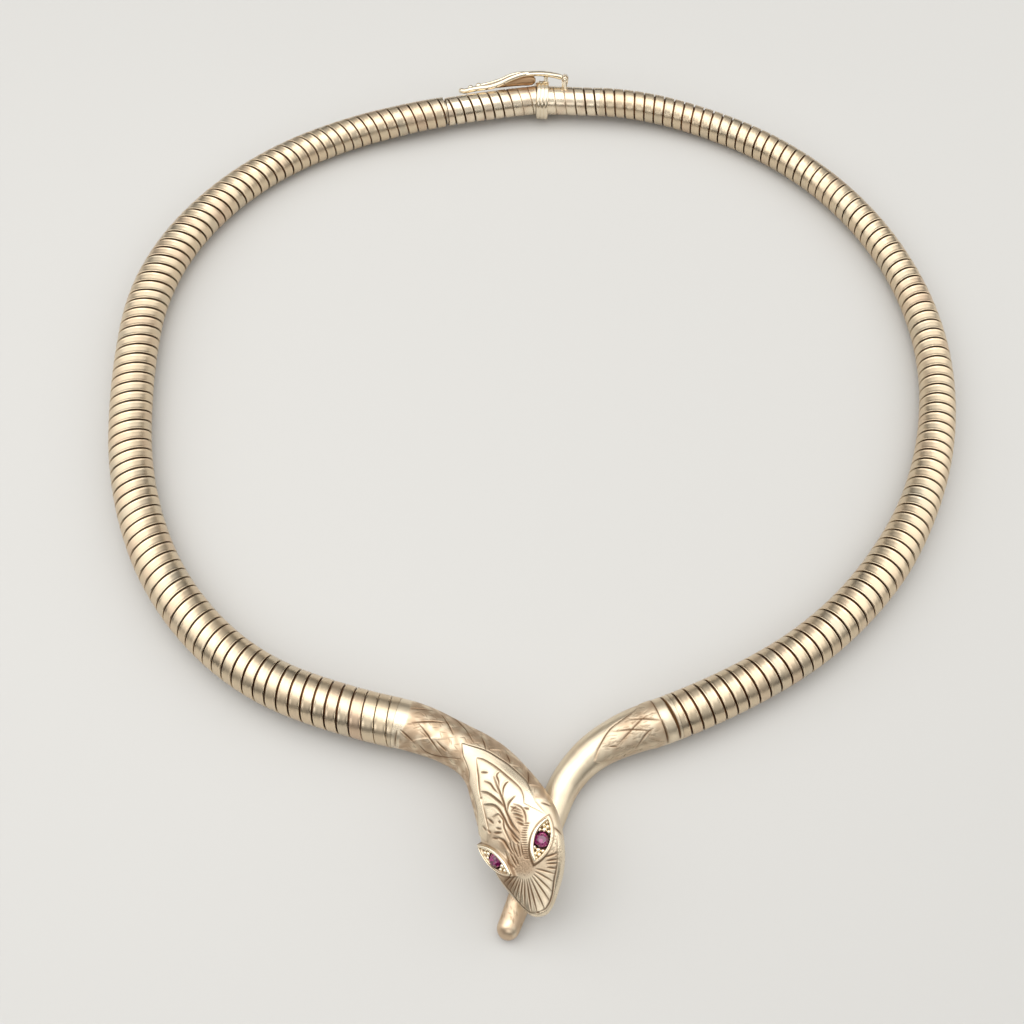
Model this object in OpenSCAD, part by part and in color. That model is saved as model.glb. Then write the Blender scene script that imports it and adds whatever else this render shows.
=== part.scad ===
// Snake collar: a hinged-clasp necklace of wound strip, with a cast head lying over a cast tail.
// Millimetres, +Z up, lying flat; the head points to -Y and the clasp sits at +Y.

/* [Chain] */
// Length of the chain taken up by one turn of the strip
turn_pitch = 1.9; // [1.7:0.05:2.1]
// Width of one turn
turn_w = 1.6; // [1.2:0.05:1.65]
// Thickness of the strip at a turn
turn_t = 0.6; // [0.4:0.05:0.8]
// Bevel along both edges of a turn
turn_bevel = 0.15; // [0.05:0.05:0.25]
// Wall of the inner strip that locks the turns
inner_t = 0.35; // [0.2:0.05:0.5]
// Gap between the turns and the inner strip
inner_gap = 0.14; // [0.12:0.02:0.2]
// Scale of every diameter of the chain
chain_girth = 1; // [0.9:0.02:1.05]

/* [Head and tail] */
// Thickness of the head over its underside
head_scale_h = 1; // [0.9:0.02:1.1]
// Lean of the head to its right side
head_roll = 26; // [20:1:28]
// Length of an eye from corner to corner
eye_l = 6.2; // [6:0.1:6.6]
// Width of an eye
eye_w = 3; // [2.7:0.1:3.2]
// Wire of the eyelids
lid_d = 0.5; // [0.4:0.05:0.6]
// Diameter of a stone
stone_d = 2.1; // [1.8:0.1:2.2]
// Clear gap round a stone
stone_gap = 0.05; // [0.04:0.01:0.1]

/* [Clasp] */
// Length of the socket sleeve, without its reeded band
socket_l = 9.5; // [9:0.1:10.5]
// Width of the reeded band
band_w = 2.4; // [2.2:0.1:2.8]
// Diameter of the sleeves
sleeve_d = 5.2; // [5:0.1:5.6]
// Diameter of the reeded band
band_d = 7.2; // [6.6:0.1:7.6]
// Length of the tongue's sleeve
tongue_sleeve_l = 17.8; // [16:0.2:19]
// Diameter of the tongue inside the socket
tongue_d = 3.6; // [3.4:0.1:3.8]
// Gap between the tongue and the socket
tongue_gap = 0.1; // [0.06:0.02:0.2]
// Where the lever sits, up from the outer side of the collar
lever_turn = 50; // [46:1:52]
// Wire of the lever
lever_wire = 0.95; // [0.8:0.05:1.1]
// Diameter of the hinge pin
pin_d = 0.7; // [0.6:0.05:0.8]

/* [Hidden] */

gold = [0.84, 0.73, 0.50];
dark_gold = [0.45, 0.36, 0.20];
ruby_red = [0.60, 0.06, 0.22];

// Where the chain leaves the tail, and the way it sets out
start_at = [20.82, -47.23];
start_heading = 21.5;

// Bends of the chain, a row for each stretch: turns of strip, degrees of bend
TURNS = 0;
BEND = 1;
tail_side_bends = [[9, 8.5], [34, 56.5], [31, 57.5], [18, 33.5]];
head_side_bends = [[7, 3.5], [11, 21], [11, 22.25], [12, 28.5], [11, 8.75], [11, 17.25], [11, 23.25],
                   [9, 22.5], [8, 8]];
sleeve_kink = 10;
sleeve_bend = 5;

// The same stretches as lengths along the middle of the tube
function in_mm(rows) = [for (row = rows) [row[TURNS] * turn_pitch, row[BEND]]];
loop_rows = concat(in_mm(tail_side_bends), [[socket_l + band_w, 0], [0, sleeve_kink],
                   [tongue_sleeve_l, sleeve_bend]], in_mm(head_side_bends));

// Diameter of the tube, a row for each measured place: distance from the tail, diameter
tube_sizes = [[0, 7.1], [45, 6.95], [56, 6.4], [69, 6.15], [82, 5.85], [105, 5.45], [140, 5.4], [175, 5.2],
              [205, 5.45], [217, 5.7], [240, 6.05], [251, 6.3], [262, 6.65], [273, 7], [311, 7.05],
              [348, 7.25], [362, 7.5], [378, 7.6]];
function tube_r(s) = chain_girth * lookup(s, tube_sizes) / 2;

function total(rows, i = 0) = i == len(rows) ? 0 : rows[i][0] + total(rows, i + 1);
function turns_in(rows, i = 0) = i == len(rows) ? 0 : rows[i][TURNS] + turns_in(rows, i + 1);

// Point and heading on one arc, from [x, y, heading], after the distance u
function on_arc(from, row, u) =
    let (bend = row[0] == 0 ? row[1] : row[1] * u / row[0], h = from[2])
    abs(bend) < 0.001
        ? [from[0] + u * cos(h), from[1] + u * sin(h), h + bend]
        : let (r = u / bend * 180 / PI)
          [from[0] + r * (sin(h + bend) - sin(h)), from[1] + r * (cos(h) - cos(h + bend)), h + bend];

// Point and heading after the distance s along a row of arcs
function along(from, rows, s, i = 0) =
    i == len(rows) - 1 || s < rows[i][0]
        ? on_arc(from, rows[i], s)
        : along(on_arc(from, rows[i], rows[i][0]), rows, s - rows[i][0], i + 1);

loop_from = [start_at[0], start_at[1], start_heading];
function on_loop(s) = along(loop_from, loop_rows, s);

tail_side_l = turns_in(tail_side_bends) * turn_pitch;
head_side_l = turns_in(head_side_bends) * turn_pitch;
band_end_s = tail_side_l + socket_l + band_w;
head_side_s = band_end_s + tongue_sleeve_l;
loop_l = head_side_s + head_side_l;

// The band holds the clasp clear of the ground, and the chain comes down over settle_l on both sides
band_rise = (band_d - sleeve_d) / 2;
settle_l = 25;
ground_gap = 0.02;
function eased(t) = t <= 0 ? 0 : t >= 1 ? 1 : t * t * (3 - 2 * t);
function tube_z(s) =
    tube_r(s) + ground_gap + band_rise * eased(min(s - tail_side_l, head_side_s - s) / settle_l + 1);

// Puts a shape whose axis is +Z along the tube at the distance s
module on_tube(s, z, slope = 0) {
    at = on_loop(s);
    translate([at[0], at[1], z]) rotate([0, 90 - slope, at[2]]) children();
}

// One turn of the strip, as a bevelled hoop round +Z
module turn(r, w = turn_w) {
    rotate_extrude($fn = 48) polygon([
        [r - turn_t, -w / 2], [r - turn_bevel, -w / 2], [r, -w / 2 + turn_bevel],
        [r, w / 2 - turn_bevel], [r - turn_bevel, w / 2], [r - turn_t, w / 2]]);
}

module turns(from_s, count) {
    for (i = [0 : count - 1]) {
        s = from_s + (i + 0.5) * turn_pitch;
        on_tube(s, tube_z(s), atan(tube_z(s + 0.5) - tube_z(s - 0.5))) turn(tube_r(s));
    }
}

// Faces of a tube of closed outlines, each of n points, shut by a flat cap at both ends
function tube_faces(rings, n) = concat(
    [[for (k = [0 : n - 1]) k]],
    [[for (k = [n - 1 : -1 : 0]) (rings - 1) * n + k]],
    [for (j = [0 : rings - 2], k = [0 : n - 1])
        [j * n + k, (j + 1) * n + k, (j + 1) * n + (k + 1) % n, j * n + (k + 1) % n]]);

// Faces of a pipe whose outlines come in pairs, outer then inner, joined at both ends
function pipe_faces(rings, n) = concat(
    [for (j = [0 : rings - 2], k = [0 : n - 1])
        [j * n + k, (j + 1) * n + k, (j + 1) * n + (k + 1) % n, j * n + (k + 1) % n]],
    [for (j = [0 : rings - 2], k = [0 : n - 1]) let (o = rings * n)
        [o + j * n + k, o + j * n + (k + 1) % n, o + (j + 1) * n + (k + 1) % n, o + (j + 1) * n + k]],
    [for (k = [0 : n - 1]) let (o = rings * n) [k, (k + 1) % n, o + (k + 1) % n, o + k]],
    [for (k = [0 : n - 1]) let (e = (rings - 1) * n, o = rings * n)
        [e + k, o + e + k, o + e + (k + 1) % n, e + (k + 1) % n]]);

// Point on a section across the path at [x, y, heading]: y to the left, z up
function across(at, y, z) = [at[0] - y * sin(at[2]), at[1] + y * cos(at[2]), z];

function circle_at(at, r, mid_z, n) =
    [for (k = [0 : n - 1]) across(at, r * cos(360 * k / n), mid_z + r * sin(360 * k / n))];

// The inner strip along a stretch of the loop, as a plain twelve-sided pipe
inner_sides = 12;
inner_step = 3 * turn_pitch;
module inner_pipe(from_s, to_s) {
    count = ceil((to_s - from_s) / inner_step) + 1;
    stops = [for (i = [0 : count - 1]) from_s + (to_s - from_s) * i / (count - 1)];
    function ring(s, cut) =
        circle_at(on_loop(s), tube_r(s) - turn_t - inner_gap - cut, tube_z(s), inner_sides);
    outer = [for (s = stops) each ring(s, 0)];
    inner = [for (s = stops) each ring(s, inner_t)];
    polyhedron(concat(outer, inner), pipe_faces(count, inner_sides), convexity = 8);
}

module chain_tail_side() color(gold) turns(0, turns_in(tail_side_bends));
module chain_head_side() color(gold) turns(head_side_s, turns_in(head_side_bends));

end_gap = 0.15;
module inner_strip_tail_side() color(dark_gold) inner_pipe(end_gap, tail_side_l - end_gap);
module inner_strip_head_side() color(dark_gold) inner_pipe(head_side_s + end_gap, loop_l - end_gap);

// Tail

tail_bends = [[5, -4], [6, 11], [12, 41], [21, -2]];
tail_l = total(tail_bends);
tail_from = [start_at[0], start_at[1], start_heading + 180];
// A row for each measured place: distance from the cuff, diameter
tail_sizes = [[0, 7], [4, 7], [8, 6.5], [12, 5.8], [16, 5.15], [20, 4.75], [28, 4.25], [36, 3.7], [44, 3.2]];
tail_sides = 24;
tail_step = 1.5;
tail_tip_rings = 5;

module tail() {
    // The last stretch rounds off to a blunt tip
    tip_r = lookup(tail_l, tail_sizes) / 2;
    body_count = floor((tail_l - tip_r) / tail_step);
    body = [for (i = [0 : body_count]) end_gap + (tail_l - tip_r - end_gap) * i / body_count];
    tip = [for (i = [1 : tail_tip_rings]) let (a = 84 * i / tail_tip_rings)
        [tail_l - tip_r + tip_r * sin(a), cos(a)]];
    rows = concat([for (s = body) [s, 1]], tip);
    points = [for (row = rows) let (r = lookup(row[0], tail_sizes) / 2, mid_z = r * (0.7 + 0.3 * row[1]))
        each circle_at(along(tail_from, tail_bends, row[0]), r * row[1], mid_z, tail_sides)];
    color(gold) polyhedron(points, tube_faces(len(rows), tail_sides), convexity = 6);
}

// Head and neck

head_bends = [[6, -13.5], [6, -8], [6, -27], [6, -6.5], [6, -6], [9, -10]];
head_l = total(head_bends);
head_from = on_loop(loop_l);
// A row for each section: distance from the cuff, middle height, half width, rise over the middle,
// depth under it, squareness of the section (2 is round), part of the full roll
S = 0;
MID = 1;
HALF_W = 2;
RISE = 3;
DEPTH = 4;
SQUARE = 5;
LEAN = 6;
head_rows = [
    [0, 3.8, 3.75, 3.75, 3.75, 2, 0],
    [4, 4.0, 3.65, 3.65, 3.65, 2, 0],
    [8, 4.6, 3.4, 3.45, 3.5, 2, 0.1],
    [12, 5.5, 3.45, 3.4, 3.4, 2.05, 0.25],
    [16, 6.6, 4.0, 3.4, 3.0, 2.1, 0.5],
    [20.5, 7.7, 5.0, 3.2, 2.9, 2.2, 0.8],
    [23.5, 8.2, 5.65, 3.0, 3.4, 2.25, 1],
    [26, 8.3, 6, 2.9, 3.6, 2.3, 1],
    [28.5, 8.3, 5.9, 2.75, 3.45, 2.35, 1],
    [31.5, 8.0, 5.35, 2.45, 3.05, 2.4, 1],
    [34, 7.6, 4.4, 2.0, 2.5, 2.5, 0.9],
    [36, 7.2, 3.3, 1.6, 1.7, 2.5, 0.85],
    [37.6, 6.9, 2.25, 1.2, 1.4, 2.4, 0.8],
    [38.6, 6.75, 1.35, 0.9, 1.1, 2.2, 0.75],
    [39, 6.7, 0.6, 0.5, 0.6, 2, 0.75]];

// Smooth curve through the table's rows for one column
function row_at(s, i = 0) = i >= len(head_rows) - 2 || s < head_rows[i + 1][S] ? i : row_at(s, i + 1);
function slope(i, c) = let (a = head_rows[max(i - 1, 0)], b = head_rows[min(i + 1, len(head_rows) - 1)])
    (b[c] - a[c]) / (b[S] - a[S]);
function head_value(s, c) =
    let (i = row_at(s), a = head_rows[i], b = head_rows[i + 1], w = b[S] - a[S], t = (s - a[S]) / w,
         t2 = t * t, t3 = t2 * t)
    (2 * t3 - 3 * t2 + 1) * a[c] + (t3 - 2 * t2 + t) * w * slope(i, c)
    + (3 * t2 - 2 * t3) * b[c] + (t3 - t2) * w * slope(i + 1, c);

function bent(v, p) = sign(v) * pow(abs(v), p);
function rolled(v, roll) = [v[0] * cos(roll) - v[1] * sin(roll), v[0] * sin(roll) + v[1] * cos(roll)];

// Left and up from the head's middle line, for a place round the section and a share of its size
function head_offset(s, angle, share = 1) =
    let (n = head_value(s, SQUARE),
         up = sin(angle) > 0 ? head_value(s, RISE) * head_scale_h : head_value(s, DEPTH))
    rolled(share * [head_value(s, HALF_W) * bent(cos(angle), 2 / n), up * bent(sin(angle), 2 / n)],
           head_roll * head_value(s, LEAN));
function head_point(s, angle, share = 1) =
    let (o = head_offset(s, angle, share))
    across(along(head_from, head_bends, s), o[0], head_value(s, MID) + o[1]);

head_sides = 40;
head_step = 0.9;

module head_form() {
    count = round((head_l - end_gap) / head_step);
    stops = [for (i = [0 : count]) end_gap + (head_l - end_gap) * i / count];
    points = [for (s = stops, k = [0 : head_sides - 1]) head_point(s, 360 * k / head_sides)];
    polyhedron(points, tube_faces(len(stops), head_sides), convexity = 8);
}

// Eyes: side 1 is the snake's left, -1 its right, and lists give the right eye's value first
eye_s = 29.9;
eye_out = 4;
eye_shift = -0.5;
eye_splay = 37;
eye_tilts = [34, 26];
eye_nose_down = [13, 8];
module at_eye(side) {
    at = along(head_from, head_bends, eye_s);
    out = side * eye_out + eye_shift;
    angle = acos(sign(out) * pow(abs(out) / head_value(eye_s, HALF_W), head_value(eye_s, SQUARE) / 2));
    o = head_offset(eye_s, angle);
    p = across(at, o[0], head_value(eye_s, MID) + o[1]);
    one = side > 0 ? 1 : 0;
    translate(p) rotate([0, 0, at[2]]) rotate([head_roll - side * eye_tilts[one], eye_nose_down[one], 0])
        rotate([0, 0, -side * eye_splay]) children();
}

// The almond of an eye is where two circles meet
function lid_r(l, w) = (l * l / 4 + w * w / 4) / w;
module almond(l, w) {
    r = lid_r(l, w);
    intersection_for(side = [-1, 1]) translate([0, side * (r - w / 2)]) circle(r, $fn = 64);
}

lid_steps = 8;
module eyelids() {
    r = lid_r(eye_l, eye_w);
    half = asin(eye_l / 2 / r);
    module bead(side, a)
        translate([r * sin(a), side * (r * cos(a) - r + eye_w / 2), 0.1]) sphere(d = lid_d, $fn = 8);
    for (side = [-1, 1], i = [0 : lid_steps - 1]) {
        a = half * (2 * i / lid_steps - 1);
        b = half * (2 * (i + 1) / lid_steps - 1);
        hull() {
            bead(side, a);
            bead(side, b);
        }
    }
}

grain_d = 0.6;
grain_places = [[-2.15, 0], [-1.55, 0.45], [-1.55, -0.45], [1.55, 0.45], [1.55, -0.45], [2.15, 0]];
eye_depth = 0.45;

module head() {
    color(gold) {
        difference() {
            union() {
                head_form();
                for (side = [-1, 1]) at_eye(side) translate([0, 0, -0.9])
                    linear_extrude(0.9) almond(eye_l + lid_d, eye_w + lid_d);
            }
            for (side = [-1, 1]) at_eye(side) {
                translate([0, 0, -eye_depth]) linear_extrude(3) almond(eye_l - lid_d, eye_w - lid_d);
                translate([0, 0, stone_low - 0.1]) cylinder(d = stone_d + 2 * stone_gap, h = 3, $fn = 20);
            }
        }
        for (side = [-1, 1]) at_eye(side) {
            eyelids();
            for (g = grain_places) translate([g[0], g[1], -eye_depth + 0.1]) sphere(d = grain_d, $fn = 8);
        }
    }
}

// Stones: a table, eight crown facets on a girdle, and a pointed back
stone_high = 0.35;
stone_low = -1.05;
module stone() {
    girdle_z = -0.3;
    hull() {
        translate([0, 0, stone_high - 0.01]) cylinder(d = stone_d * 0.55, h = 0.01, $fn = 8);
        rotate(22.5) translate([0, 0, girdle_z]) cylinder(d = stone_d, h = 0.12, $fn = 16);
        translate([0, 0, stone_low]) cylinder(d = stone_d * 0.2, h = 0.01, $fn = 8);
    }
}
module ruby_left() color(ruby_red) at_eye(1) stone();
module ruby_right() color(ruby_red) at_eye(-1) stone();

// Clasp, in the frame of the band: +X along the tube to the tongue, +Y out to the lever, Z along the hinge

band_at = on_loop(band_end_s - 0.001);
module at_clasp() {
    translate([band_at[0], band_at[1], band_d / 2]) rotate([0, 0, band_at[2]])
        rotate([180 - lever_turn, 0, 0]) children();
}
module along_x(x) {
    translate([x, 0, 0]) rotate([0, 90, 0]) children();
}

reeds = 3;
groove_d = 0.12;
groove_w = 0.18;
sleeve_r = sleeve_d / 2;
socket_bore = tongue_d + 2 * tongue_gap;

// Outline of the socket in half section, with a groove between turns and a reeded band
module socket_profile() {
    socket_turns = round(socket_l / turn_pitch);
    turn_l = socket_l / socket_turns;
    polygon(concat(
        [[socket_bore / 2, 0], [sleeve_r, 0]],
        [for (i = [1 : socket_turns - 1]) let (x = i * turn_l) each
            [[sleeve_r, x - groove_w], [sleeve_r - groove_d, x], [sleeve_r, x + groove_w]]],
        [[sleeve_r, socket_l]],
        [for (i = [0 : reeds - 1]) let (w = band_w / reeds, x = socket_l + i * w, r = band_d / 2) each
            [[r - 0.25, x + 0.02], [r, x + 0.3 * w], [r, x + 0.7 * w], [r - 0.25, x + w - 0.02]]],
        [[socket_bore / 2, socket_l + band_w]]));
}

// The hinge, the catch and the lever
hinge_x = -5.2;
hinge_h = sleeve_r + 1.55;
knuckle_d = 1.6;
barrel_w = 1.2;
ear_w = 0.6;
ear_gap = 0.08;
pin_gap = 0.03;
catch_x = -1.6;
catch_d = 0.8;
catch_low = sleeve_r - 0.95;
// The slot the catch drops into, from its left end to its right end
slot_x = [-2.2, -0.35];
slot_w = 1.3;
module catch_slot() {
    translate([slot_x[0], 0, -slot_w / 2]) cube([slot_x[1] - slot_x[0], band_d, slot_w]);
}
lever_arch = sleeve_r + 1.95;

module clasp_socket() {
    color(gold) at_clasp() difference() {
        union() {
            along_x(-socket_l - band_w) rotate_extrude($fn = 64) socket_profile();
            for (side = [-1, 1]) translate([hinge_x, 0, side * (barrel_w / 2 + ear_gap + ear_w / 2)]) {
                translate([0, hinge_h, 0]) cylinder(d = knuckle_d, h = ear_w, center = true, $fn = 32);
                translate([-knuckle_d / 2, sleeve_r - 0.5, -ear_w / 2])
                    cube([knuckle_d, hinge_h - sleeve_r + 0.5, ear_w]);
            }
        }
        translate([hinge_x, hinge_h, 0]) cylinder(d = pin_d + 0.02, h = 6, center = true, $fn = 32);
        catch_slot();
    }
}

module hinge_pin() {
    color(gold) at_clasp() translate([hinge_x, hinge_h, 0])
        cylinder(d = pin_d, h = barrel_w + 2 * ear_w + 2 * ear_gap + 0.1, center = true, $fn = 32);
}

// The tongue's sleeve is a bent pipe with turns of strip soldered round it
tongue_l = socket_l + band_w - 3;
sleeve_turns = floor(tongue_sleeve_l / turn_pitch);
sleeve_turn_l = tongue_sleeve_l / sleeve_turns;
sleeve_flare = 0.1;
module sleeve_pipe() {
    bend_r = tongue_sleeve_l / sleeve_bend * 180 / PI;
    from = on_loop(band_end_s + 0.001);
    r = sleeve_r - groove_d;
    translate([from[0], from[1], band_d / 2]) rotate([0, 0, from[2]]) translate([0, bend_r, 0])
        rotate([0, 0, -90]) rotate_extrude(angle = sleeve_bend, $fn = 400)
            translate([bend_r, 0]) circle(r, $fn = 48);
}
module clasp_tongue() {
    color(gold) {
        difference() {
            union() {
                sleeve_pipe();
                for (i = [0 : sleeve_turns - 1]) {
                    on_tube(band_end_s + (i + 0.5) * sleeve_turn_l, band_d / 2)
                        turn(sleeve_r + sleeve_flare * i / sleeve_turns, sleeve_turn_l - 0.15);
                }
            }
            at_clasp() translate([-10, -5, -5]) cube([10 + end_gap, 10, 10]);
        }
        at_clasp() difference() {
            along_x(-tongue_l) cylinder(d = tongue_d, h = tongue_l + 1, $fn = 48);
            catch_slot();
        }
    }
}

// The lever, a row for each place: along the tube, height over the sleeve, half width of arm or loop
arm_rows = [[-5.2, 1.55, 0.5], [-4.2, 1.76, 0.58], [-3.4, 1.84, 0.8], [-2.2, 1.91, 0.95], [-0.7, 1.99, 1.1],
            [1.2, 1.97, 1.25], [2.6, 1.84, 1.3]];
loop_wire_rows = [[1.4, 1.95, 0.6], [3.1, 1.79, 0.95], [5, 1.22, 1.2], [6.9, 0.34, 1.3],
                  [8.8, -0.38, 1.25], [10.7, -0.7, 1.1], [12.4, -1.06, 0.95], [13.6, -1.42, 0.7],
                  [14.3, -1.4, 0.3], [14.5, -1.35, 0]];
arm_t = 1.05;
finger_tip_d = 1.05;
lump_x = [11.2, 12.7];
wire_sides = 10;

// Sweeps an oval section, half_w across and half_t thick, along a row of points
module bar(path, half_w, half_t) {
    n = len(path);
    function tangent(i) =
        let (a = path[max(i - 1, 0)], b = path[min(i + 1, n - 1)]) (b - a) / norm(b - a);
    points = [for (i = [0 : n - 1], k = [0 : wire_sides - 1])
        let (t = tangent(i), up = [-t[1], t[0], 0] / norm([t[0], t[1]]), a = 360 * k / wire_sides)
        path[i] + half_t * cos(a) * up + half_w[i] * sin(a) * cross(t, up)];
    polyhedron(points, tube_faces(n, wire_sides), convexity = 6);
}

module clasp_lever() {
    arm = [for (row = arm_rows) [row[0], sleeve_r + row[1], 0]];
    color(gold) at_clasp() difference() {
        union() {
            bar(arm, [for (row = arm_rows) row[2]], arm_t / 2);
            for (side = [-1, 1])
                bar([for (row = loop_wire_rows) [row[0], sleeve_r + row[1], side * row[2]]],
                    [for (row = loop_wire_rows) lever_wire / 2], lever_wire / 2);
            translate([hinge_x, hinge_h, 0]) cylinder(d = knuckle_d, h = barrel_w, center = true, $fn = 32);
            translate([14.4, sleeve_r - 1.35, 0]) sphere(d = finger_tip_d, $fn = 24);
            for (x = lump_x)
                translate([x, sleeve_r - 0.45 - 0.3 * (x - lump_x[0]), 1.05]) sphere(d = 1.1, $fn = 24);
            translate([catch_x, catch_low, 0]) rotate([-90, 0, 0])
                cylinder(d = catch_d, h = lever_arch - catch_low, $fn = 24);
        }
        translate([hinge_x, hinge_h, 0]) cylinder(d = pin_d + 2 * pin_gap, h = 6, center = true, $fn = 32);
    }
}

chain_tail_side();
chain_head_side();
inner_strip_tail_side();
inner_strip_head_side();
head();
ruby_left();
ruby_right();
tail();
clasp_socket();
clasp_tongue();
hinge_pin();
clasp_lever();
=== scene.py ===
import math

import bmesh
import bpy
import numpy as np
from mathutils import Matrix, Vector


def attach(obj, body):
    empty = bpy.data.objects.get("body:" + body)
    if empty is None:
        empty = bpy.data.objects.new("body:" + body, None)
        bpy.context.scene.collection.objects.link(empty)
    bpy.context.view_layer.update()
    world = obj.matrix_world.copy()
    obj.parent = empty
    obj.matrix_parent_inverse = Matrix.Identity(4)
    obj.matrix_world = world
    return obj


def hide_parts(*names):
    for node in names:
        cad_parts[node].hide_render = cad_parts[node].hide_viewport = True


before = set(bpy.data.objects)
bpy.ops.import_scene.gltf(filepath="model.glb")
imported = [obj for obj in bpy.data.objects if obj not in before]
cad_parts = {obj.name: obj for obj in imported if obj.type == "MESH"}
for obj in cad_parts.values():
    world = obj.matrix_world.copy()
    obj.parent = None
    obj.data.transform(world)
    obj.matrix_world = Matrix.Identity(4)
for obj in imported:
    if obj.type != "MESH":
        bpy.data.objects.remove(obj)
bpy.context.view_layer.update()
mm = 0.001
print("frame loaded", len(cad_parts), "nodes")

# Route of the collar: lengths in mm, bends in degrees
collar = {
    "start": (20.82, -47.23, 21.5),    # where the chain leaves the tail, and the way it sets out
    "pitch": 1.9,                      # length of chain per turn of strip
    "tailSide": [(9, 8.5), (34, 56.5), (31, 57.5), (18, 33.5)],    # turns of strip, degrees of bend
    "headSide": [(7, 3.5), (11, 21), (11, 22.25), (12, 28.5), (11, 8.75), (11, 17.25), (11, 23.25),
                 (9, 22.5), (8, 8)],
    "socket": (11.9, 0),
    "kink": (0, 10),
    "sleeve": (17.8, 5),
    "diameters": [(0, 7.1), (45, 6.95), (56, 6.4), (69, 6.15), (82, 5.85), (105, 5.45), (140, 5.4), (175, 5.2),
                  (205, 5.45), (217, 5.7), (240, 6.05), (251, 6.3), (262, 6.65), (273, 7), (311, 7.05),
                  (348, 7.25), (362, 7.5), (378, 7.6)],
    "floorGap": 0.02,
    "bandRise": 1.0,                   # how far the band holds the clasp off the floor
    "settle": 25,                      # length over which the chain comes down again
}

tailTurns = sum(turns for turns, bend in collar["tailSide"])
headTurns = sum(turns for turns, bend in collar["headSide"])
tailSideEnd = tailTurns * collar["pitch"]
bandEnd = tailSideEnd + collar["socket"][0]
headSideStart = bandEnd + collar["sleeve"][0]
loopEnd = headSideStart + headTurns * collar["pitch"]
loopRows = ([(turns * collar["pitch"], bend) for turns, bend in collar["tailSide"]]
            + [collar["socket"], collar["kink"], collar["sleeve"]]
            + [(turns * collar["pitch"], bend) for turns, bend in collar["headSide"]])


def ease(t):
    t = np.clip(t, 0, 1)
    return t * t * (3 - 2 * t)


def alongArcs(start, rows, s):    # x, y and heading at the distances s on a row of arcs
    s = np.asarray(s, float)
    x, y, heading = np.zeros_like(s), np.zeros_like(s), np.zeros_like(s)
    x0, y0, h0 = start[0], start[1], math.radians(start[2])
    passed = 0
    for length, bend in rows:
        turn = math.radians(bend)
        if length:
            rate = turn / length if abs(turn) > 1e-6 else 1e-9
            here = (s >= passed) | (passed == 0)
            u = (s - passed)[here]
            x[here] = x0 + (np.sin(h0 + rate * u) - math.sin(h0)) / rate
            y[here] = y0 + (math.cos(h0) - np.cos(h0 + rate * u)) / rate
            heading[here] = h0 + rate * u
            x0 += (math.sin(h0 + rate * length) - math.sin(h0)) / rate
            y0 += (math.cos(h0) - math.cos(h0 + rate * length)) / rate
        h0 += turn
        passed += length
    return x, y, heading


def tubeRadius(s):
    stops, diameters = np.array(collar["diameters"]).T
    return np.interp(s, stops, diameters) / 2


def tubeHeight(s):
    near = np.minimum(s - tailSideEnd, headSideStart - s) / collar["settle"] + 1
    return tubeRadius(s) + collar["floorGap"] + collar["bandRise"] * ease(near)


def onTube(s, angle, radius, height=None):    # points round the collar; angle from its left side, over the top
    x, y, heading = alongArcs(collar["start"], loopRows, s)
    climb = np.arctan(tubeHeight(s + 0.5) - tubeHeight(s - 0.5)) * (height is None)
    left = np.stack([-np.sin(heading), np.cos(heading), 0 * heading], -1)
    up = np.stack([-np.cos(heading) * np.sin(climb), -np.sin(heading) * np.sin(climb), np.cos(climb)], -1)
    centre = np.stack([x, y, tubeHeight(s) if height is None else height + 0 * s], -1)
    return centre + (radius * np.cos(angle))[..., None] * left + (radius * np.sin(angle))[..., None] * up


# Mesh helpers
def finishMesh(obj, body, finish, sharp=40):
    obj.data.polygons.foreach_set("use_smooth", np.ones(len(obj.data.polygons), bool))
    obj.data.set_sharp_from_angle(angle=math.radians(sharp))
    obj.data.materials.append(golds[finish])
    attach(obj, body)


def meshObject(name, bm):
    mesh = bpy.data.meshes.new(name)
    bm.to_mesh(mesh)
    bm.free()
    obj = bpy.data.objects.new(name, mesh)
    bpy.context.scene.collection.objects.link(obj)
    return obj


def gridShell(name, columns, rows, shape):    # a grid wrapped into a closed shell by shape(across, along)
    bm = bmesh.new()
    bmesh.ops.create_grid(bm, x_segments=columns, y_segments=rows, size=0.5)
    obj = meshObject(name, bm)
    mesh = obj.data
    flat = np.empty(len(mesh.vertices) * 3)
    mesh.vertices.foreach_get("co", flat)
    spots = flat.reshape(-1, 3) + 0.5
    i = np.rint(spots[:, 0] * columns).astype(int)
    j = np.rint(spots[:, 1] * rows).astype(int)
    points, masks = shape(*np.meshgrid(np.linspace(0, 1, columns + 1), np.linspace(0, 1, rows + 1)))
    mesh.vertices.foreach_set("co", (points[j, i] * mm).ravel())
    for key, values in masks.items():
        layer = mesh.attributes.new(key, "FLOAT", "POINT")
        layer.data.foreach_set("value", np.broadcast_to(values, points.shape[:2])[j, i].astype(np.float32))
    bm = bmesh.new()
    bm.from_mesh(mesh)
    bmesh.ops.remove_doubles(bm, verts=bm.verts, dist=0.0015 * mm)
    bmesh.ops.holes_fill(bm, edges=bm.edges, sides=0)
    bmesh.ops.recalc_face_normals(bm, faces=bm.faces)
    bm.to_mesh(mesh)
    bm.free()
    return obj


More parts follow.
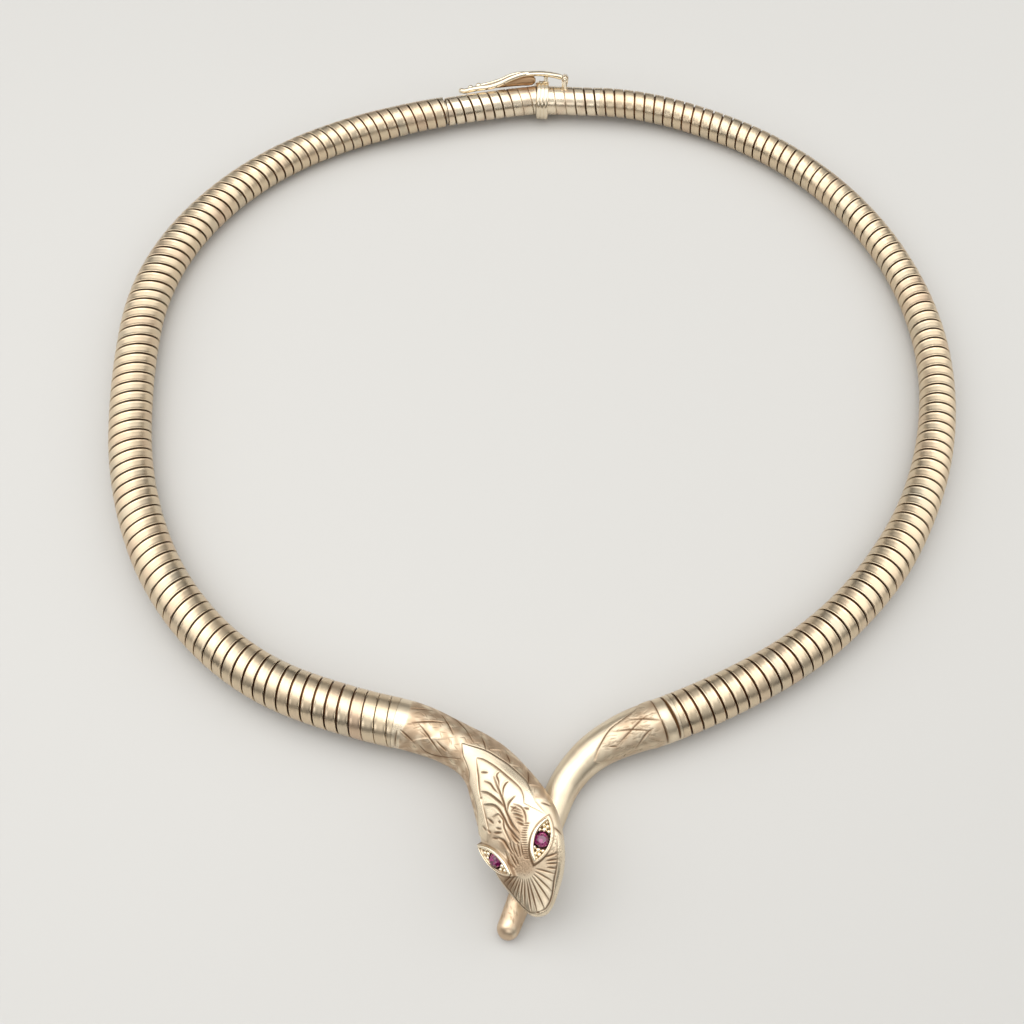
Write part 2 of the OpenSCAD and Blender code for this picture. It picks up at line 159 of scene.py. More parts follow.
def smoothTable(rows, s):    # every column of a table at the distances s, on a smooth curve through its rows
    table = np.array(rows, float)
    at = table[:, 0]
    slopes = np.empty_like(table)
    slopes[1:-1] = (table[2:] - table[:-2]) / (at[2:] - at[:-2])[:, None]
    slopes[0] = (table[1] - table[0]) / (at[1] - at[0])
    slopes[-1] = (table[-1] - table[-2]) / (at[-1] - at[-2])
    i = np.clip(np.searchsorted(at, s, side="right") - 1, 0, len(at) - 2)
    w = (at[i + 1] - at[i])[..., None]
    t = ((s - at[i]) / (at[i + 1] - at[i]))[..., None]
    return ((2 * t**3 - 3 * t**2 + 1) * table[i] + (t**3 - 2 * t**2 + t) * w * slopes[i]
            + (3 * t**2 - 2 * t**3) * table[i + 1] + (t**3 - t**2) * w * slopes[i + 1])


# Materials
def addNode(tree, kind, inputs=(), **settings):
    node = tree.nodes.new("ShaderNode" + kind)
    for key, value in settings.items():
        setattr(node, key, value)
    for key, value in dict(inputs).items():
        if isinstance(value, bpy.types.NodeSocket):
            tree.links.new(value, node.inputs[key])
        else:
            node.inputs[key].default_value = value
    return node


def patinaAndShadeGroup():    # wear and painted shade shared by every gold finish: colour, roughness and height from three masks
    tree = bpy.data.node_groups.new("goldPatinaAndShade", "ShaderNodeTree")
    for way, kind, names in (("INPUT", "Vector", ("Coordinates", "Lines")),
                             ("INPUT", "Float", ("Cut And Shade", "Matte", "Tone", "Polished Roughness", "Matte Roughness")),
                             ("INPUT", "Color", ("Gold", "Pink Gold", "Grey Gold", "Dirt And Shade")),
                             ("OUTPUT", "Color", ("Color",)), ("OUTPUT", "Float", ("Roughness", "Height"))):
        for name in names:
            tree.interface.new_socket(name=name, in_out=way, socket_type="NodeSocket" + kind)

    def noise(vector, scale, detail, rough=0.5):
        inputs = {"Vector": vector, "Scale": scale, "Detail": detail, "Roughness": rough}
        return addNode(tree, "TexNoise", inputs).outputs["Fac"]

    def reckon(operation, *values):
        return addNode(tree, "Math", enumerate(values), operation=operation).outputs[0]

    def remap(value, fromMin, fromMax, toMin, toMax):
        return addNode(tree, "MapRange", enumerate((value, fromMin, fromMax, toMin, toMax))).outputs[0]

    def blend(factor, one, other):
        return addNode(tree, "Mix", {"Factor": factor, 6: one, 7: other}, data_type="RGBA").outputs[2]

    given = tree.nodes.new("NodeGroupInput").outputs
    patches = noise(given["Coordinates"], 260, 3)
    lift = reckon("ADD", given["Tone"], patches)
    warm = blend(remap(lift, 0.55, 1.1, 0, 0.75), given["Gold"], given["Pink Gold"])
    cool = blend(remap(lift, 0.45, 0, 0, 0.75), warm, given["Grey Gold"])
    grain = reckon("MULTIPLY", noise(given["Coordinates"], 5200, 4, 0.6), given["Matte"])
    lines = reckon("MULTIPLY", noise(given["Lines"], 9, 5, 0.65), 0.5)
    rough = addNode(tree, "Mix", {"Factor": given["Matte"], 2: given["Polished Roughness"],
                                  3: given["Matte Roughness"]}).outputs[0]
    worn = reckon("ADD", rough, remap(patches, 0.3, 0.7, -0.05, 0.07))
    result = tree.nodes.new("NodeGroupOutput").inputs
    tree.links.new(blend(given["Cut And Shade"], cool, given["Dirt And Shade"]), result["Color"])
    tree.links.new(reckon("MULTIPLY_ADD", given["Cut And Shade"], 0.25, worn), result["Roughness"])
    tree.links.new(reckon("ADD", grain, lines), result["Height"])
    return tree


def rampOf(tree, value, stops):    # colour at each of the stops, in between a blend
    ramp = addNode(tree, "ValToRGB", {0: value})
    for index, (place, colour) in enumerate(stops):
        stop = ramp.color_ramp.elements[index] if index < 2 else ramp.color_ramp.elements.new(place)
        stop.position = place
        stop.color = (*colour, 1)
    return ramp.outputs[0]


goldPatinaAndShade = patinaAndShadeGroup()


def goldMaterial(name, colours, polished, matte, bump, masked):
    material = bpy.data.materials.new(name)
    material.use_nodes = True
    tree = material.node_tree
    place = addNode(tree, "TexCoord").outputs["Object"]
    values = {"Coordinates": place, "Polished Roughness": polished, "Matte Roughness": matte}
    values.update({key: (*colour, 1) for key, colour in zip(("Gold", "Pink Gold", "Grey Gold", "Dirt And Shade"), colours)})
    if masked:
        cut, dull, tone, along, around = (addNode(tree, "Attribute", attribute_name=key).outputs["Fac"]
                                          for key in ("cut", "matte", "tone", "along", "around"))
        lines = addNode(tree, "CombineXYZ", {"X": along, "Y": around})
    else:
        cut, dull, tone = 0, 0.3, 0
        lines = addNode(tree, "Mapping", {"Vector": place, "Scale": (60, 60, 60)})
    values.update({"Cut And Shade": cut, "Matte": dull, "Tone": tone, "Lines": lines.outputs[0]})
    patinaAndShade = addNode(tree, "Group", values, node_tree=goldPatinaAndShade).outputs
    relief = addNode(tree, "Bump", {"Strength": bump, "Distance": 0.00004, "Height": patinaAndShade["Height"]})
    surface = tree.nodes["Principled BSDF"].inputs
    surface["Metallic"].default_value = 1
    tree.links.new(patinaAndShade["Color"], surface["Base Color"])
    tree.links.new(patinaAndShade["Roughness"], surface["Roughness"])
    tree.links.new(relief.outputs[0], surface["Normal"])
    return material


# Gold, pinker gold, greyer gold, and a dark brown for dirt and painted shade; roughness polished and matte, bump,
# whether its pieces carry masks
finishes = {
    "woundGold": (((0.73, 0.595, 0.42), (0.62, 0.45, 0.32), (0.55, 0.49, 0.38), (0.10, 0.045, 0.016)),
                  0.2, 0.33, 0.2, True),
    "castGold": (((0.83, 0.71, 0.53), (0.56, 0.40, 0.265), (0.70, 0.61, 0.46), (0.14, 0.068, 0.028)),
                 0.25, 0.42, 0.5, True),
    "claspGold": (((0.87, 0.75, 0.57), (0.64, 0.46, 0.33), (0.66, 0.58, 0.44), (0.10, 0.05, 0.018)),
                  0.2, 0.3, 0.18, True),
    "wireGold": (((0.90, 0.80, 0.62), (0.70, 0.52, 0.34), (0.70, 0.62, 0.46), (0.12, 0.06, 0.02)),
                 0.16, 0.24, 0.3, False),
    # brown of the plate painted as shade under the lever
    "leverShadeBrown": (((0.42, 0.27, 0.15), (0.50, 0.30, 0.17), (0.30, 0.20, 0.12), (0.10, 0.05, 0.02)),
                  0.3, 0.4, 0.6, False),
    "seamGold": (((0.14, 0.062, 0.026), (0.18, 0.075, 0.03), (0.12, 0.06, 0.03), (0.06, 0.03, 0.01)),
                 0.35, 0.5, 0.4, False),
}
golds = {name: goldMaterial(name, *finish) for name, finish in finishes.items()}
print("materials ready")

# The wound strip: one ribbon from end to end of each chain, its ends ground flat
strip = {
    "width": 1.62,
    "hand": 1,                       # the way it winds
    "phases": (1.24, 1.9),           # angle of the strip's start, at the tail and at the clasp
    "steps": 60,                     # sections per turn
    "lead": 0.36,                    # part of a turn that runs out into the flat end
    "closing": (7.5, 3.5, 0.1),      # at the head: how long before its end, over what length, how much wider
    "shape": [(-1, -0.42), (-1, -0.07), (-0.96, -0.01), (-0.88, 0.02), (-0.79, 0.01), (-0.7, -0.02),
              (-0.35, -0.012), (0, -0.008), (0.35, -0.012), (0.7, -0.02), (0.79, 0.01), (0.88, 0.02),
              (0.96, -0.01), (1, -0.07), (1, -0.42)],           # across and out
    "lean": [(0, -0.1, -0.1), (20, -0.1, 0.2), (46, -0.5, 0.4), (70, -0.6, 0.4), (100, -0.35, 0.4),
             (120, -0.25, 0.3), (132, 0, 0), (172, 0, 0.1), (208, 0.3, -0.1), (236, 1.1, -0.4), (258, 0.85, 0),
             (275, 0.55, 0.4), (290, 0.35, 0.4), (318, 0.55, 0.4), (334, 0.4, 0.1), (350, 0.2, -0.2),
             (378, 0.1, -0.1)],      # place, to the side, over the top
    "seed": 11,
}


def leanOf(s, angle):
    places, aside, ahead = np.array(strip["lean"]).T
    return np.interp(s, places, ahead) * np.sin(angle) - np.interp(s, places, aside) * np.cos(angle)


def seamGap(s, angle, fromS, phase):    # distance to the nearest seam, also where no strip is wound
    turns = (s - leanOf(s, angle) - fromS) / collar["pitch"] - 0.5 - strip["hand"] * (angle - phase) / (2 * math.pi)
    return np.abs(turns - np.rint(turns)) * collar["pitch"]


def windStrip(name, fromS, turns, node, phase):
    profile = np.array(strip["shape"])
    pitch, lead = collar["pitch"], strip["lead"]
    before, over, wider = strip["closing"]
    rows = int((turns + 2 * lead) * strip["steps"])
    dice = np.random.default_rng(strip["seed"] + turns)
    marks = np.arange(-2, turns + 3, 0.25)
    tones = dice.normal(0, 0.16, len(marks)) + np.repeat(dice.normal(0, 0.1, len(marks) // 4 + 1), 4)[:len(marks)]

    def shape(u, v):
        k = np.rint(u * len(profile)).astype(int) % len(profile)
        across, out = profile[k, 0], profile[k, 1]
        turn = -lead + v * (turns + 2 * lead)
        angle = 2 * math.pi * strip["hand"] * turn + phase
        middle = fromS + pitch * turn
        half = strip["width"] / 2 + wider * ease((middle - loopEnd + before) / over)
        s = np.clip(middle + leanOf(middle, angle) + half * across, fromS + 0.01, fromS + pitch * turns - 0.01)
        radius = tubeRadius(s) + out
        masks = {"cut": ease((-out - 0.03) / 0.14), "matte": ease((0.84 - np.abs(across)) / 0.12),
                 "tone": np.interp(turn, marks, tones), "along": s * 8, "around": angle * tubeRadius(s) * 0.25}
        return onTube(s, angle, radius), masks

    obj = gridShell(name, len(profile), rows, shape)
    finishMesh(obj, "collar", "woundGold", sharp=50)
    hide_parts(node)


windStrip("woundStripTailSide", 0, tailTurns, "chain_tail_side", strip["phases"][0])
windStrip("woundStripHeadSide", headSideStart, headTurns, "chain_head_side", strip["phases"][1])
print("strips wound", tailTurns + headTurns, "turns")


def innerTube(name, fromS, toS, node):
    def shape(u, v):
        s = fromS + 0.15 + v * (toS - fromS - 0.3)
        return onTube(s, 2 * math.pi * u, tubeRadius(s) - 0.44), {}

    obj = gridShell(name, 48, int((toS - fromS) / 1.2), shape)
    finishMesh(obj, "collar", "seamGold")
    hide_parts(node)


innerTube("innerTubeTailSide", 0, tailSideEnd, "inner_strip_tail_side")
innerTube("innerTubeHeadSide", headSideStart, loopEnd, "inner_strip_head_side")

# Engraving
def carve(s, girth, strokes):    # how deep a grid is cut and how dark; a stroke is (width, depth, places it passes)
    depth, dark = np.zeros(s.shape), np.zeros(s.shape)
    for width, deep, places in strokes:
        knots = np.array(places, float)
        order = np.linspace(0, len(knots) - 1, 6 * (len(knots) - 1) + 1)
        line = smoothTable(np.column_stack([np.arange(len(knots)), knots]), order)[:, 1:]
        near = ((s > line[:, 0].min() - width) & (s < line[:, 0].max() + width)
                & (girth > line[:, 1].min() - width) & (girth < line[:, 1].max() + width))
        if not near.any():
            continue
        ps, pg = s[near], girth[near]
        gap, place = np.full(ps.shape, 9.0), np.zeros(ps.shape)
        for k in range(len(line) - 1):
            ds, dg = line[k + 1] - line[k]
            share = np.clip(((ps - line[k, 0]) * ds + (pg - line[k, 1]) * dg) / (ds * ds + dg * dg), 0, 1)
            away = np.hypot(ps - line[k, 0] - share * ds, pg - line[k, 1] - share * dg)
            place = np.where(away < gap, (k + share) / (len(line) - 1), place)
            gap = np.minimum(gap, away)
        taper = 0.45 + 0.55 * np.sqrt(np.sin(math.pi * np.clip(place, 0, 1)))
        cut = ease(1 - gap / (width * 0.85 * taper)) * taper
        depth[near] = np.where(np.abs(deep * cut) > np.abs(depth[near]), deep * cut, depth[near])
        if deep > 0:
            dark[near] = np.maximum(dark[near], cut)
    return depth, dark


def within(s, girth, outline):    # how far inside a closed outline, less than nought outside it
    corners = np.array(outline, float)
    gap, inside = np.full(s.shape, 99.0), np.zeros(s.shape, bool)
    for (s0, g0), (s1, g1) in zip(corners, np.roll(corners, -1, axis=0)):
        ds, dg = s1 - s0, g1 - g0
        share = np.clip(((s - s0) * ds + (girth - g0) * dg) / (ds * ds + dg * dg), 0, 1)
        gap = np.minimum(gap, np.hypot(s - s0 - share * ds, girth - g0 - share * dg))
        if dg:
            inside ^= ((g0 > girth) != (g1 > girth)) & (s < s0 + (girth - g0) / dg * ds)
    return np.where(inside, gap, -gap)


def stipple(dice, count, middle, reach, width, deep):    # scattered punch marks round a middle place
    strokes = []
    for turn, share in zip(dice.uniform(0, 2 * math.pi, count), np.sqrt(dice.uniform(0, 1, count))):
        at = (middle[0] + reach[0] * share * math.cos(turn), middle[1] + reach[1] * share * math.sin(turn))
        strokes.append((width, deep, [at, (at[0] + 0.04, at[1] + 0.03)]))
    return strokes


def outward(points):    # unit normals of a grid of points that wraps round
    normals = np.cross(np.gradient(points, axis=0), np.gradient(points, axis=1))
    normals /= np.linalg.norm(normals, axis=-1, keepdims=True) + 1e-12
    away = points - points.mean(axis=1, keepdims=True)
    return normals * np.sign(np.median((normals * away).sum(-1)))


def placed(points, matrix):
    turn = np.array(matrix)
    return points @ turn[:3, :3].T + turn[:3, 3]


def unplaced(points, matrix):
    turn = np.array(matrix)
    return (points - turn[:3, 3]) @ turn[:3, :3]


# Tail
tail = {
    "bends": [(5, -4), (6, 11), (12, 41), (21, -2)],
    "diameters": [(0, 7.06), (2.6, 7.04), (4, 6.98), (8, 6.5), (12, 5.8), (16, 5.15), (20, 4.75), (28, 4.25),
                  (36, 3.7), (44, 3.2)],
    "length": 44,
    "gap": 0.01,                     # from the chain's end
    # Width, depth (less than nought for a ridge), then places as distance from the cuff and girth from the crest
    "lines": [
        (0.30, 0.12, [(14.8, 1.6), (13.4, 0.7), (12.4, 0.2), (10.1, -1.0), (7.9, -1.5), (6.3, -2.0), (5.3, -2.7)]),
        (0.36, -0.12, [(5.3, -2.7), (4.8, -3.7), (2.9, -3.9)]),
        (0.50, -0.16, [(14.8, 1.6), (14.0, 2.5), (10.9, 4.1), (8.5, 4.4), (5.8, 4.7), (4.2, 5.7), (2.7, 5.2)]),
        (0.26, 0.11, [(9.6, -0.2), (7.1, 0.7), (4.6, 1.8)]),
        (0.26, 0.11, [(7.1, -0.9), (5.0, -0.2), (3.0, 0.7)]),
        (0.24, 0.10, [(11.6, 1.2), (10.4, 1.8)]),
        (0.26, 0.11, [(10.3, 1.7), (7.8, 0.8), (5.6, -0.2), (4.3, -0.6)]),
        (0.26, 0.11, [(7.7, 3.5), (5.4, 1.9), (4.2, 1.5)]),
        (0.24, 0.10, [(10.5, 4.6), (9.4, 3.7)]),
        (0.26, 0.12, [(2.75, -5.2), (2.8, -2), (2.7, 1.2)]),
        (0.42, 0.24, [(2.7, 0.6), (2.5, 3.5), (2.4, 5.6)]),
        (0.46, 0.3, [(1.05, -4.6), (0.9, -2), (0.75, 0.4), (0.6, 2.3), (0.5, 5.4)]),
    ],
    "sleeve": [(2.7, -3.9), (2.9, -3.9), (4.8, -3.7), (5.3, -2.7), (6.3, -2.0), (7.9, -1.5), (10.1, -1.0),
               (12.4, 0.2), (13.4, 0.7), (14.8, 1.6), (14.0, 2.5), (10.9, 4.1), (8.5, 4.4), (5.8, 4.7),
               (4.2, 5.7), (2.7, 5.2)],
    "sleeveRise": 0.16,
    "hatch": 150,                    # short strokes on the sleeve, and how many on the tip
    "tipMarks": 44,
    "seed": 8,
}


def tailGrid(u, v):    # s from the cuff, girth from the crest (plus to the left of the way it runs) and points
    stops, diameters = np.array(tail["diameters"]).T
    tipRadius = diameters[-1] / 2
    body = tail["length"] - tipRadius
    reach = tail["gap"] + v * (tail["length"] - tail["gap"])
    share = np.sqrt(np.clip(1 - (np.maximum(reach - body, 0) / tipRadius) ** 2, 0, 1))
    full = np.interp(reach, stops, diameters) / 2
    radius = full * share
    startX, startY, away = collar["start"]
    x, y, heading = alongArcs((startX, startY, away + 180), tail["bends"], reach)
    angle = 2 * math.pi * u - math.pi / 2
    across = radius * np.cos(angle)
    height = full * (0.7 + 0.3 * share) + radius * np.sin(angle)
    points = np.stack([x - across * np.sin(heading), y + across * np.cos(heading), height], -1)
    return reach, (math.pi / 2 - angle) * radius, points


def tailShape(u, v):
    s, girth, points = tailGrid(u, v)
    lines, count, tips = tail["lines"], tail["hatch"], tail["tipMarks"]
    dice = np.random.default_rng(tail["seed"])
    hatch = []
    for place, across, slant in zip(dice.uniform(2.8, 12, count), dice.uniform(-2.6, 5.2, count),
                                    dice.normal(-0.1, 0.3, count)):
        hatch.append((0.18, 0.05, [(place, across), (place + 0.9, across + slant)]))
    tipMarks = []
    for place, across, turn in zip(dice.uniform(34.5, 41.5, tips), dice.uniform(-2, 2, tips),
                                   dice.normal(0.5, 0.5, tips)):
        end = (place + 0.7 * math.cos(turn), across + 0.7 * math.sin(turn))
        tipMarks.append((0.17, 0.035, [(place, across), end]))
    depth, dark = carve(s, girth, lines)
    scratch, scratchDark = carve(s, girth, hatch)
    tipDepth, tipDark = carve(s, girth, tipMarks)
    stain = carve(s, girth, [(width * 3, 0.1, places) for width, deep, places in lines])[1]
    lastSeam = carve(s, girth, lines[-1:])[1]    # as dark as the chain's own seams
    inside = ease(within(s, girth, tail["sleeve"]) / 0.2 + 0.5)
    depth = np.maximum(depth, scratch * inside * (np.abs(depth) < 0.02)) + tipDepth
    points = points + (tail["sleeveRise"] * inside - depth)[..., None] * outward(points)
    tip = ease((s - 34) / 3)
    # side is painted shade down the tail's sides, away from its crest, darker and pinker; shade darkens the sleeve,
    # more towards its left, and adds the side's painted shade
    side = ease((np.abs(girth + 0.4) - 2.0) / 1.6) * (1 - inside) * (s > 2.8)
    mottle = np.sin(2.3 * s + 1.3 * np.sin(2.1 * girth)) * np.sin(1.9 * girth + 1.1 * np.sin(1.3 * s))
    shade = inside * (0.07 + 0.10 * ease((girth - 1) / 3)) + 0.07 * side
    cut = np.max([dark, 0.5 * scratchDark * inside, 0.4 * tipDark, 0.26 * stain, shade,
                  ease(1.7 * lastSeam)], axis=0)
    tone = (0.26 + 0.2 * mottle) * inside + (0.45 + 0.25 * mottle) * tip + 0.25 * side
    matte = 0.5 + 0.5 * inside * (s > 2.6) + 0.1 * tip
    return points, {"cut": cut, "matte": matte, "tone": tone, "along": 0.5 * s, "around": 6 * girth}


tailPiece = gridShell("castTail", 160, 440, tailShape)
finishMesh(tailPiece, "collar", "castGold", sharp=60)
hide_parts("tail")
print("tail made")

# Head and neck: distance from the cuff, middle height, half width, rise, depth under, squareness, part of the lean
head = {
    "bends": [(6, -13.5), (6, -8), (6, -27), (6, -6.5), (6, -6), (9, -10)],
    "sections": [(0, 3.8, 3.75, 3.75, 3.75, 2, 0), (4, 4.0, 3.65, 3.65, 3.65, 2, 0),
                 (8, 4.6, 3.4, 3.45, 3.5, 2, 0.1), (12, 5.5, 3.45, 3.4, 3.4, 2.05, 0.25),
                 (16, 6.6, 4.0, 3.4, 3.0, 2.1, 0.5),
                 (20.5, 7.7, 5.0, 3.2, 2.9, 2.2, 0.8), (23.5, 8.2, 5.65, 3.0, 3.4, 2.25, 1),
                 (26, 8.3, 6, 2.9, 3.6, 2.3, 1), (28.5, 8.3, 5.9, 2.75, 3.45, 2.35, 1),
                 (31.5, 8.0, 5.35, 2.45, 3.05, 2.4, 1), (34, 7.6, 4.4, 2.0, 2.5, 2.5, 0.9),
                 (36, 7.2, 3.3, 1.6, 1.7, 2.5, 0.85), (37.6, 6.9, 2.25, 1.2, 1.4, 2.4, 0.8),
                 (38.6, 6.75, 1.35, 0.9, 1.1, 2.2, 0.75), (39, 6.7, 0.6, 0.5, 0.6, 2, 0.75)],
    "length": 39,
    "gap": 0.01,
    "lean": 26,                      # degrees to the snake's right
}
headStart = [float(value) for value in alongArcs(collar["start"], loopRows, np.array([loopEnd - 1e-6]))]
headStart[2] = math.degrees(headStart[2])


def sectionOffsets(s, angle, share=1.0):    # left and up from the head's middle line
    table = smoothTable(head["sections"], s)
    middle, halfWidth, rise, depth, square, lean = (table[..., k] for k in range(1, 7))
    power = 2 / square
    side = halfWidth * np.sign(np.cos(angle)) * np.abs(np.cos(angle)) ** power * share
    up = np.where(np.sin(angle) > 0, rise, depth) * np.sign(np.sin(angle)) * np.abs(np.sin(angle)) ** power * share
    roll = math.radians(head["lean"]) * lean
    return side * np.cos(roll) - up * np.sin(roll), side * np.sin(roll) + up * np.cos(roll), middle


def headPoint(s, left, height):
    x, y, heading = alongArcs(headStart, head["bends"], s)
    return np.stack([x - left * np.sin(heading), y + left * np.cos(heading), height], -1)


def headGrid(u, v):    # s from the cuff, girth from the crest (plus to the snake's left) and points
    rows, columns = u.shape
    s = head["gap"] + v[:, :1] * (head["length"] - head["gap"])
    fine = np.linspace(-math.pi / 2, 1.5 * math.pi, 721)[None, :]
    left, up, middle = sectionOffsets(np.broadcast_to(s, (rows, 721)), np.broadcast_to(fine, (rows, 721)))
    steps = np.hypot(np.diff(left, axis=1), np.diff(up, axis=1))
    girth = np.concatenate([np.zeros((rows, 1)), np.cumsum(steps, axis=1)], 1)
    girth = girth[:, 360:361] - girth
    half = np.where(u[0] < 0.5, girth[:, :1], girth[:, -1:])
    t = np.abs(1 - 2 * u[0])
    target = half * t * (0.6 + 0.4 * t * t)
    newLeft, newUp = np.empty_like(target), np.empty_like(target)
    for row in range(rows):
        newLeft[row] = np.interp(-target[row], -girth[row], left[row])
        newUp[row] = np.interp(-target[row], -girth[row], up[row])
    points = headPoint(np.broadcast_to(s, u.shape), newLeft, smoothTable(head["sections"], s)[..., 1] + newUp)
    return np.broadcast_to(s, u.shape), target, points


# Lines of the head's engraving: width, depth, then places as distance from the cuff and girth from the crest
headLines = [
    (0.24, 0.10, [(14.6, -0.3), (15.4, 0.25), (16.8, 0.9), (18.3, 1.6), (19.7, 2.2), (20.8, 2.7), (22.3, 3.3),
                  (23.5, 3.3), (24.4, 3.0)]),
    (0.22, 0.10, [(14.6, -0.3), (16, -1.1), (17.5, -1.7), (19.6, -2.5), (20.9, -2.7)]),
    (0.20, 0.06, [(20.9, -2.7), (23.8, -3.2), (26, -3.6)]),
    (0.24, 0.12, [(11.7, 0.2), (13.1, 0.7), (14.8, 1.5), (16.7, 2.3), (18.2, 3.1), (20.1, 3.9), (21.6, 4.5),
                  (23.2, 4.6)]),
    (0.22, 0.10, [(11.1, 0), (12.5, -1.4), (15.5, -2.6), (17, -3.6), (19.8, -3.9), (22.3, -4.5),
                  (24.9, -6.3)]),
    # Leaf
    (0.34, 0.20, [(28.0, 0.7), (26.4, 0.25), (24.7, 0.1), (22.4, 0.3), (20.3, 0.3), (18.7, 0.4)]),
    (0.32, 0.18, [(19.7, -2.3), (20.5, -1.4), (22.1, -0.5), (23.4, 0.1), (24.4, 0.2)]),
    (0.38, 0.22, [(21.7, -2.8), (22.5, -1.4), (23.5, -0.8), (24.9, -0.6), (26.4, -0.5), (27.9, -0.1), (28.9, 0.4)]),
    (0.30, 0.16, [(24.1, -2.2), (24.1, -1.2), (24.7, -0.9), (25.3, -0.8), (26.2, -1.1), (27.3, -1.1),
                  (28.7, -1.0)]),
    (0.24, 0.10, [(16.9, -1.0), (17.7, -0.1)]),
    (0.30, 0.12, [(18.5, -1.2), (19.4, -0.5), (20.4, -0.3), (21.4, 0.1)]),
    (0.26, 0.12, [(18.5, 1.5), (18.8, 0.9), (19.7, 0.8), (20.6, 0.5)]),
    (0.28, 0.13, [(20.5, 2.1), (20.6, 1.6), (21.1, 1.0), (22.1, 0.5)]),
    (0.28, 0.14, [(22.9, 2.3), (23.2, 1.4), (23.6, 0.8), (24.4, 0.3)]),
    (0.28, 0.12, [(24.7, 0.8), (24.4, 1.5), (24.6, 1.9)]),
    (0.26, 0.10, [(24.0, 1.0), (24.5, 1.5), (25.3, 2.3)]),
    (0.24, 0.10, [(24.5, 0.9), (24.9, 1.5), (25.6, 2.2)]),
    (0.34, 0.14, [(25.1, 0.9), (25.5, 1.5), (26.2, 2.1)]),
    (0.30, 0.13, [(25.8, 1.0), (26.2, 1.5), (26.8, 1.9)]),
    (0.36, 0.14, [(26.5, 1.0), (26.9, 1.5), (27.3, 1.8)]),
    (0.26, 0.10, [(23.8, 1.5), (24.8, 2.4), (26.0, 2.5), (27.2, 2.1)]),
    (0.26, 0.12, [(25.0, 2.7), (25.5, 3.4)]),
    (0.34, 0.16, [(25.0, 0.0), (26.3, 0.1), (27.6, 0.5)]),
    (0.34, 0.16, [(27.2, -0.5), (28.5, -0.2), (29.3, 0.2)]),
    (0.36, 0.18, [(27.1, -2.7), (28.0, -1.9), (29.2, -1.6), (30.3, -1.3)]),
    (0.34, 0.16, [(23.8, -3), (25, -2.4)]),
    (0.30, 0.10, [(25.1, -1.6), (25.4, -1.3)]),
    (0.34, 0.12, [(26.3, -2.9), (26.8, -1.7)]),
    (0.26, 0.12, [(25.3, -3.7), (26.1, -3.4)]),
    (0.24, 0.10, [(25.8, -2.3), (26.3, -1.6)]),
    (0.24, 0.10, [(26.9, -3.4), (27.4, -2.5)]),
    (0.30, 0.10, [(24.4, -4.3), (25.4, -3.9)]),
    (0.30, 0.12, [(20.7, -2.6), (20.3, -2.75)]),
    # Between the eyes
    (0.22, 0.09, [(28.8, -0.6), (29.7, -0.7), (31.0, -0.5)]),
    (0.22, 0.09, [(29.0, 0.0), (30.0, -0.1), (31.1, -0.2)]),
    (0.22, 0.09, [(28.1, -0.9), (29.2, -1.1), (30.3, -0.9)]),
    (0.24, 0.09, [(29.5, -2.2), (31.1, -2.1), (32.2, -1.6)]),
    (0.22, 0.08, [(30.2, -1.1), (31.2, -0.9), (32.0, -0.8)]),
    (0.22, 0.08, [(29.9, -1.6), (31.1, -1.4), (32.1, -1.2)]),
    (0.20, 0.08, [(29.2, 0.5), (30.2, 0.35), (31.2, 0.2)]),
    # Lattice of the flanks
    (0.26, 0.12, [(12.8, 2.8), (14.6, 1.6)]),
    (0.30, -0.08, [(15, 2.1), (15.9, 3.6), (16.8, 4.9)]),
    (0.28, 0.12, [(16.6, 3.9), (18.1, 3.5)]),
    (0.30, -0.08, [(18.3, 3.5), (19.1, 4.8)]),
    (0.28, 0.12, [(20.2, 5.6), (22.2, 4.6)]),
    (0.28, -0.07, [(22.2, 4.7), (23.4, 7.9)]),
    (0.22, 0.08, [(25.2, 5.3), (25.9, 6.5)]),
    (0.26, 0.10, [(28.8, 5.7), (29.8, 6.9)]),
    # Lattice of the neck
    (0.24, 0.09, [(1.9, 1.7), (4.8, 2.9)]),
    (0.24, 0.09, [(6.1, 2.9), (9.3, 0.5)]),
    (0.26, 0.11, [(2.8, -0.6), (7.1, 1.6)]),
    (0.26, 0.11, [(3.7, -0.3), (6.6, -1.8), (9.4, -3.3)]),
    (0.26, 0.11, [(1.3, -2.0), (4.2, -3.4)]),
    (0.30, -0.07, [(1.7, -4.7), (4.9, -2.5), (9.6, 0)]),
    (0.24, 0.09, [(4.9, -3.4), (7.4, -4.2), (12.2, -2.1)]),
    (0.24, 0.08, [(7.5, -1.6), (9.6, -2.2)]),
    (0.24, 0.09, [(1.8, 4.2), (6.2, 5.4)]),
    (0.24, 0.09, [(5.0, 5.6), (9.0, 3.2), (12.4, 1.2)]),
    (0.22, 0.14, [(0.8, -2.2), (0.8, -5.5)]),
]

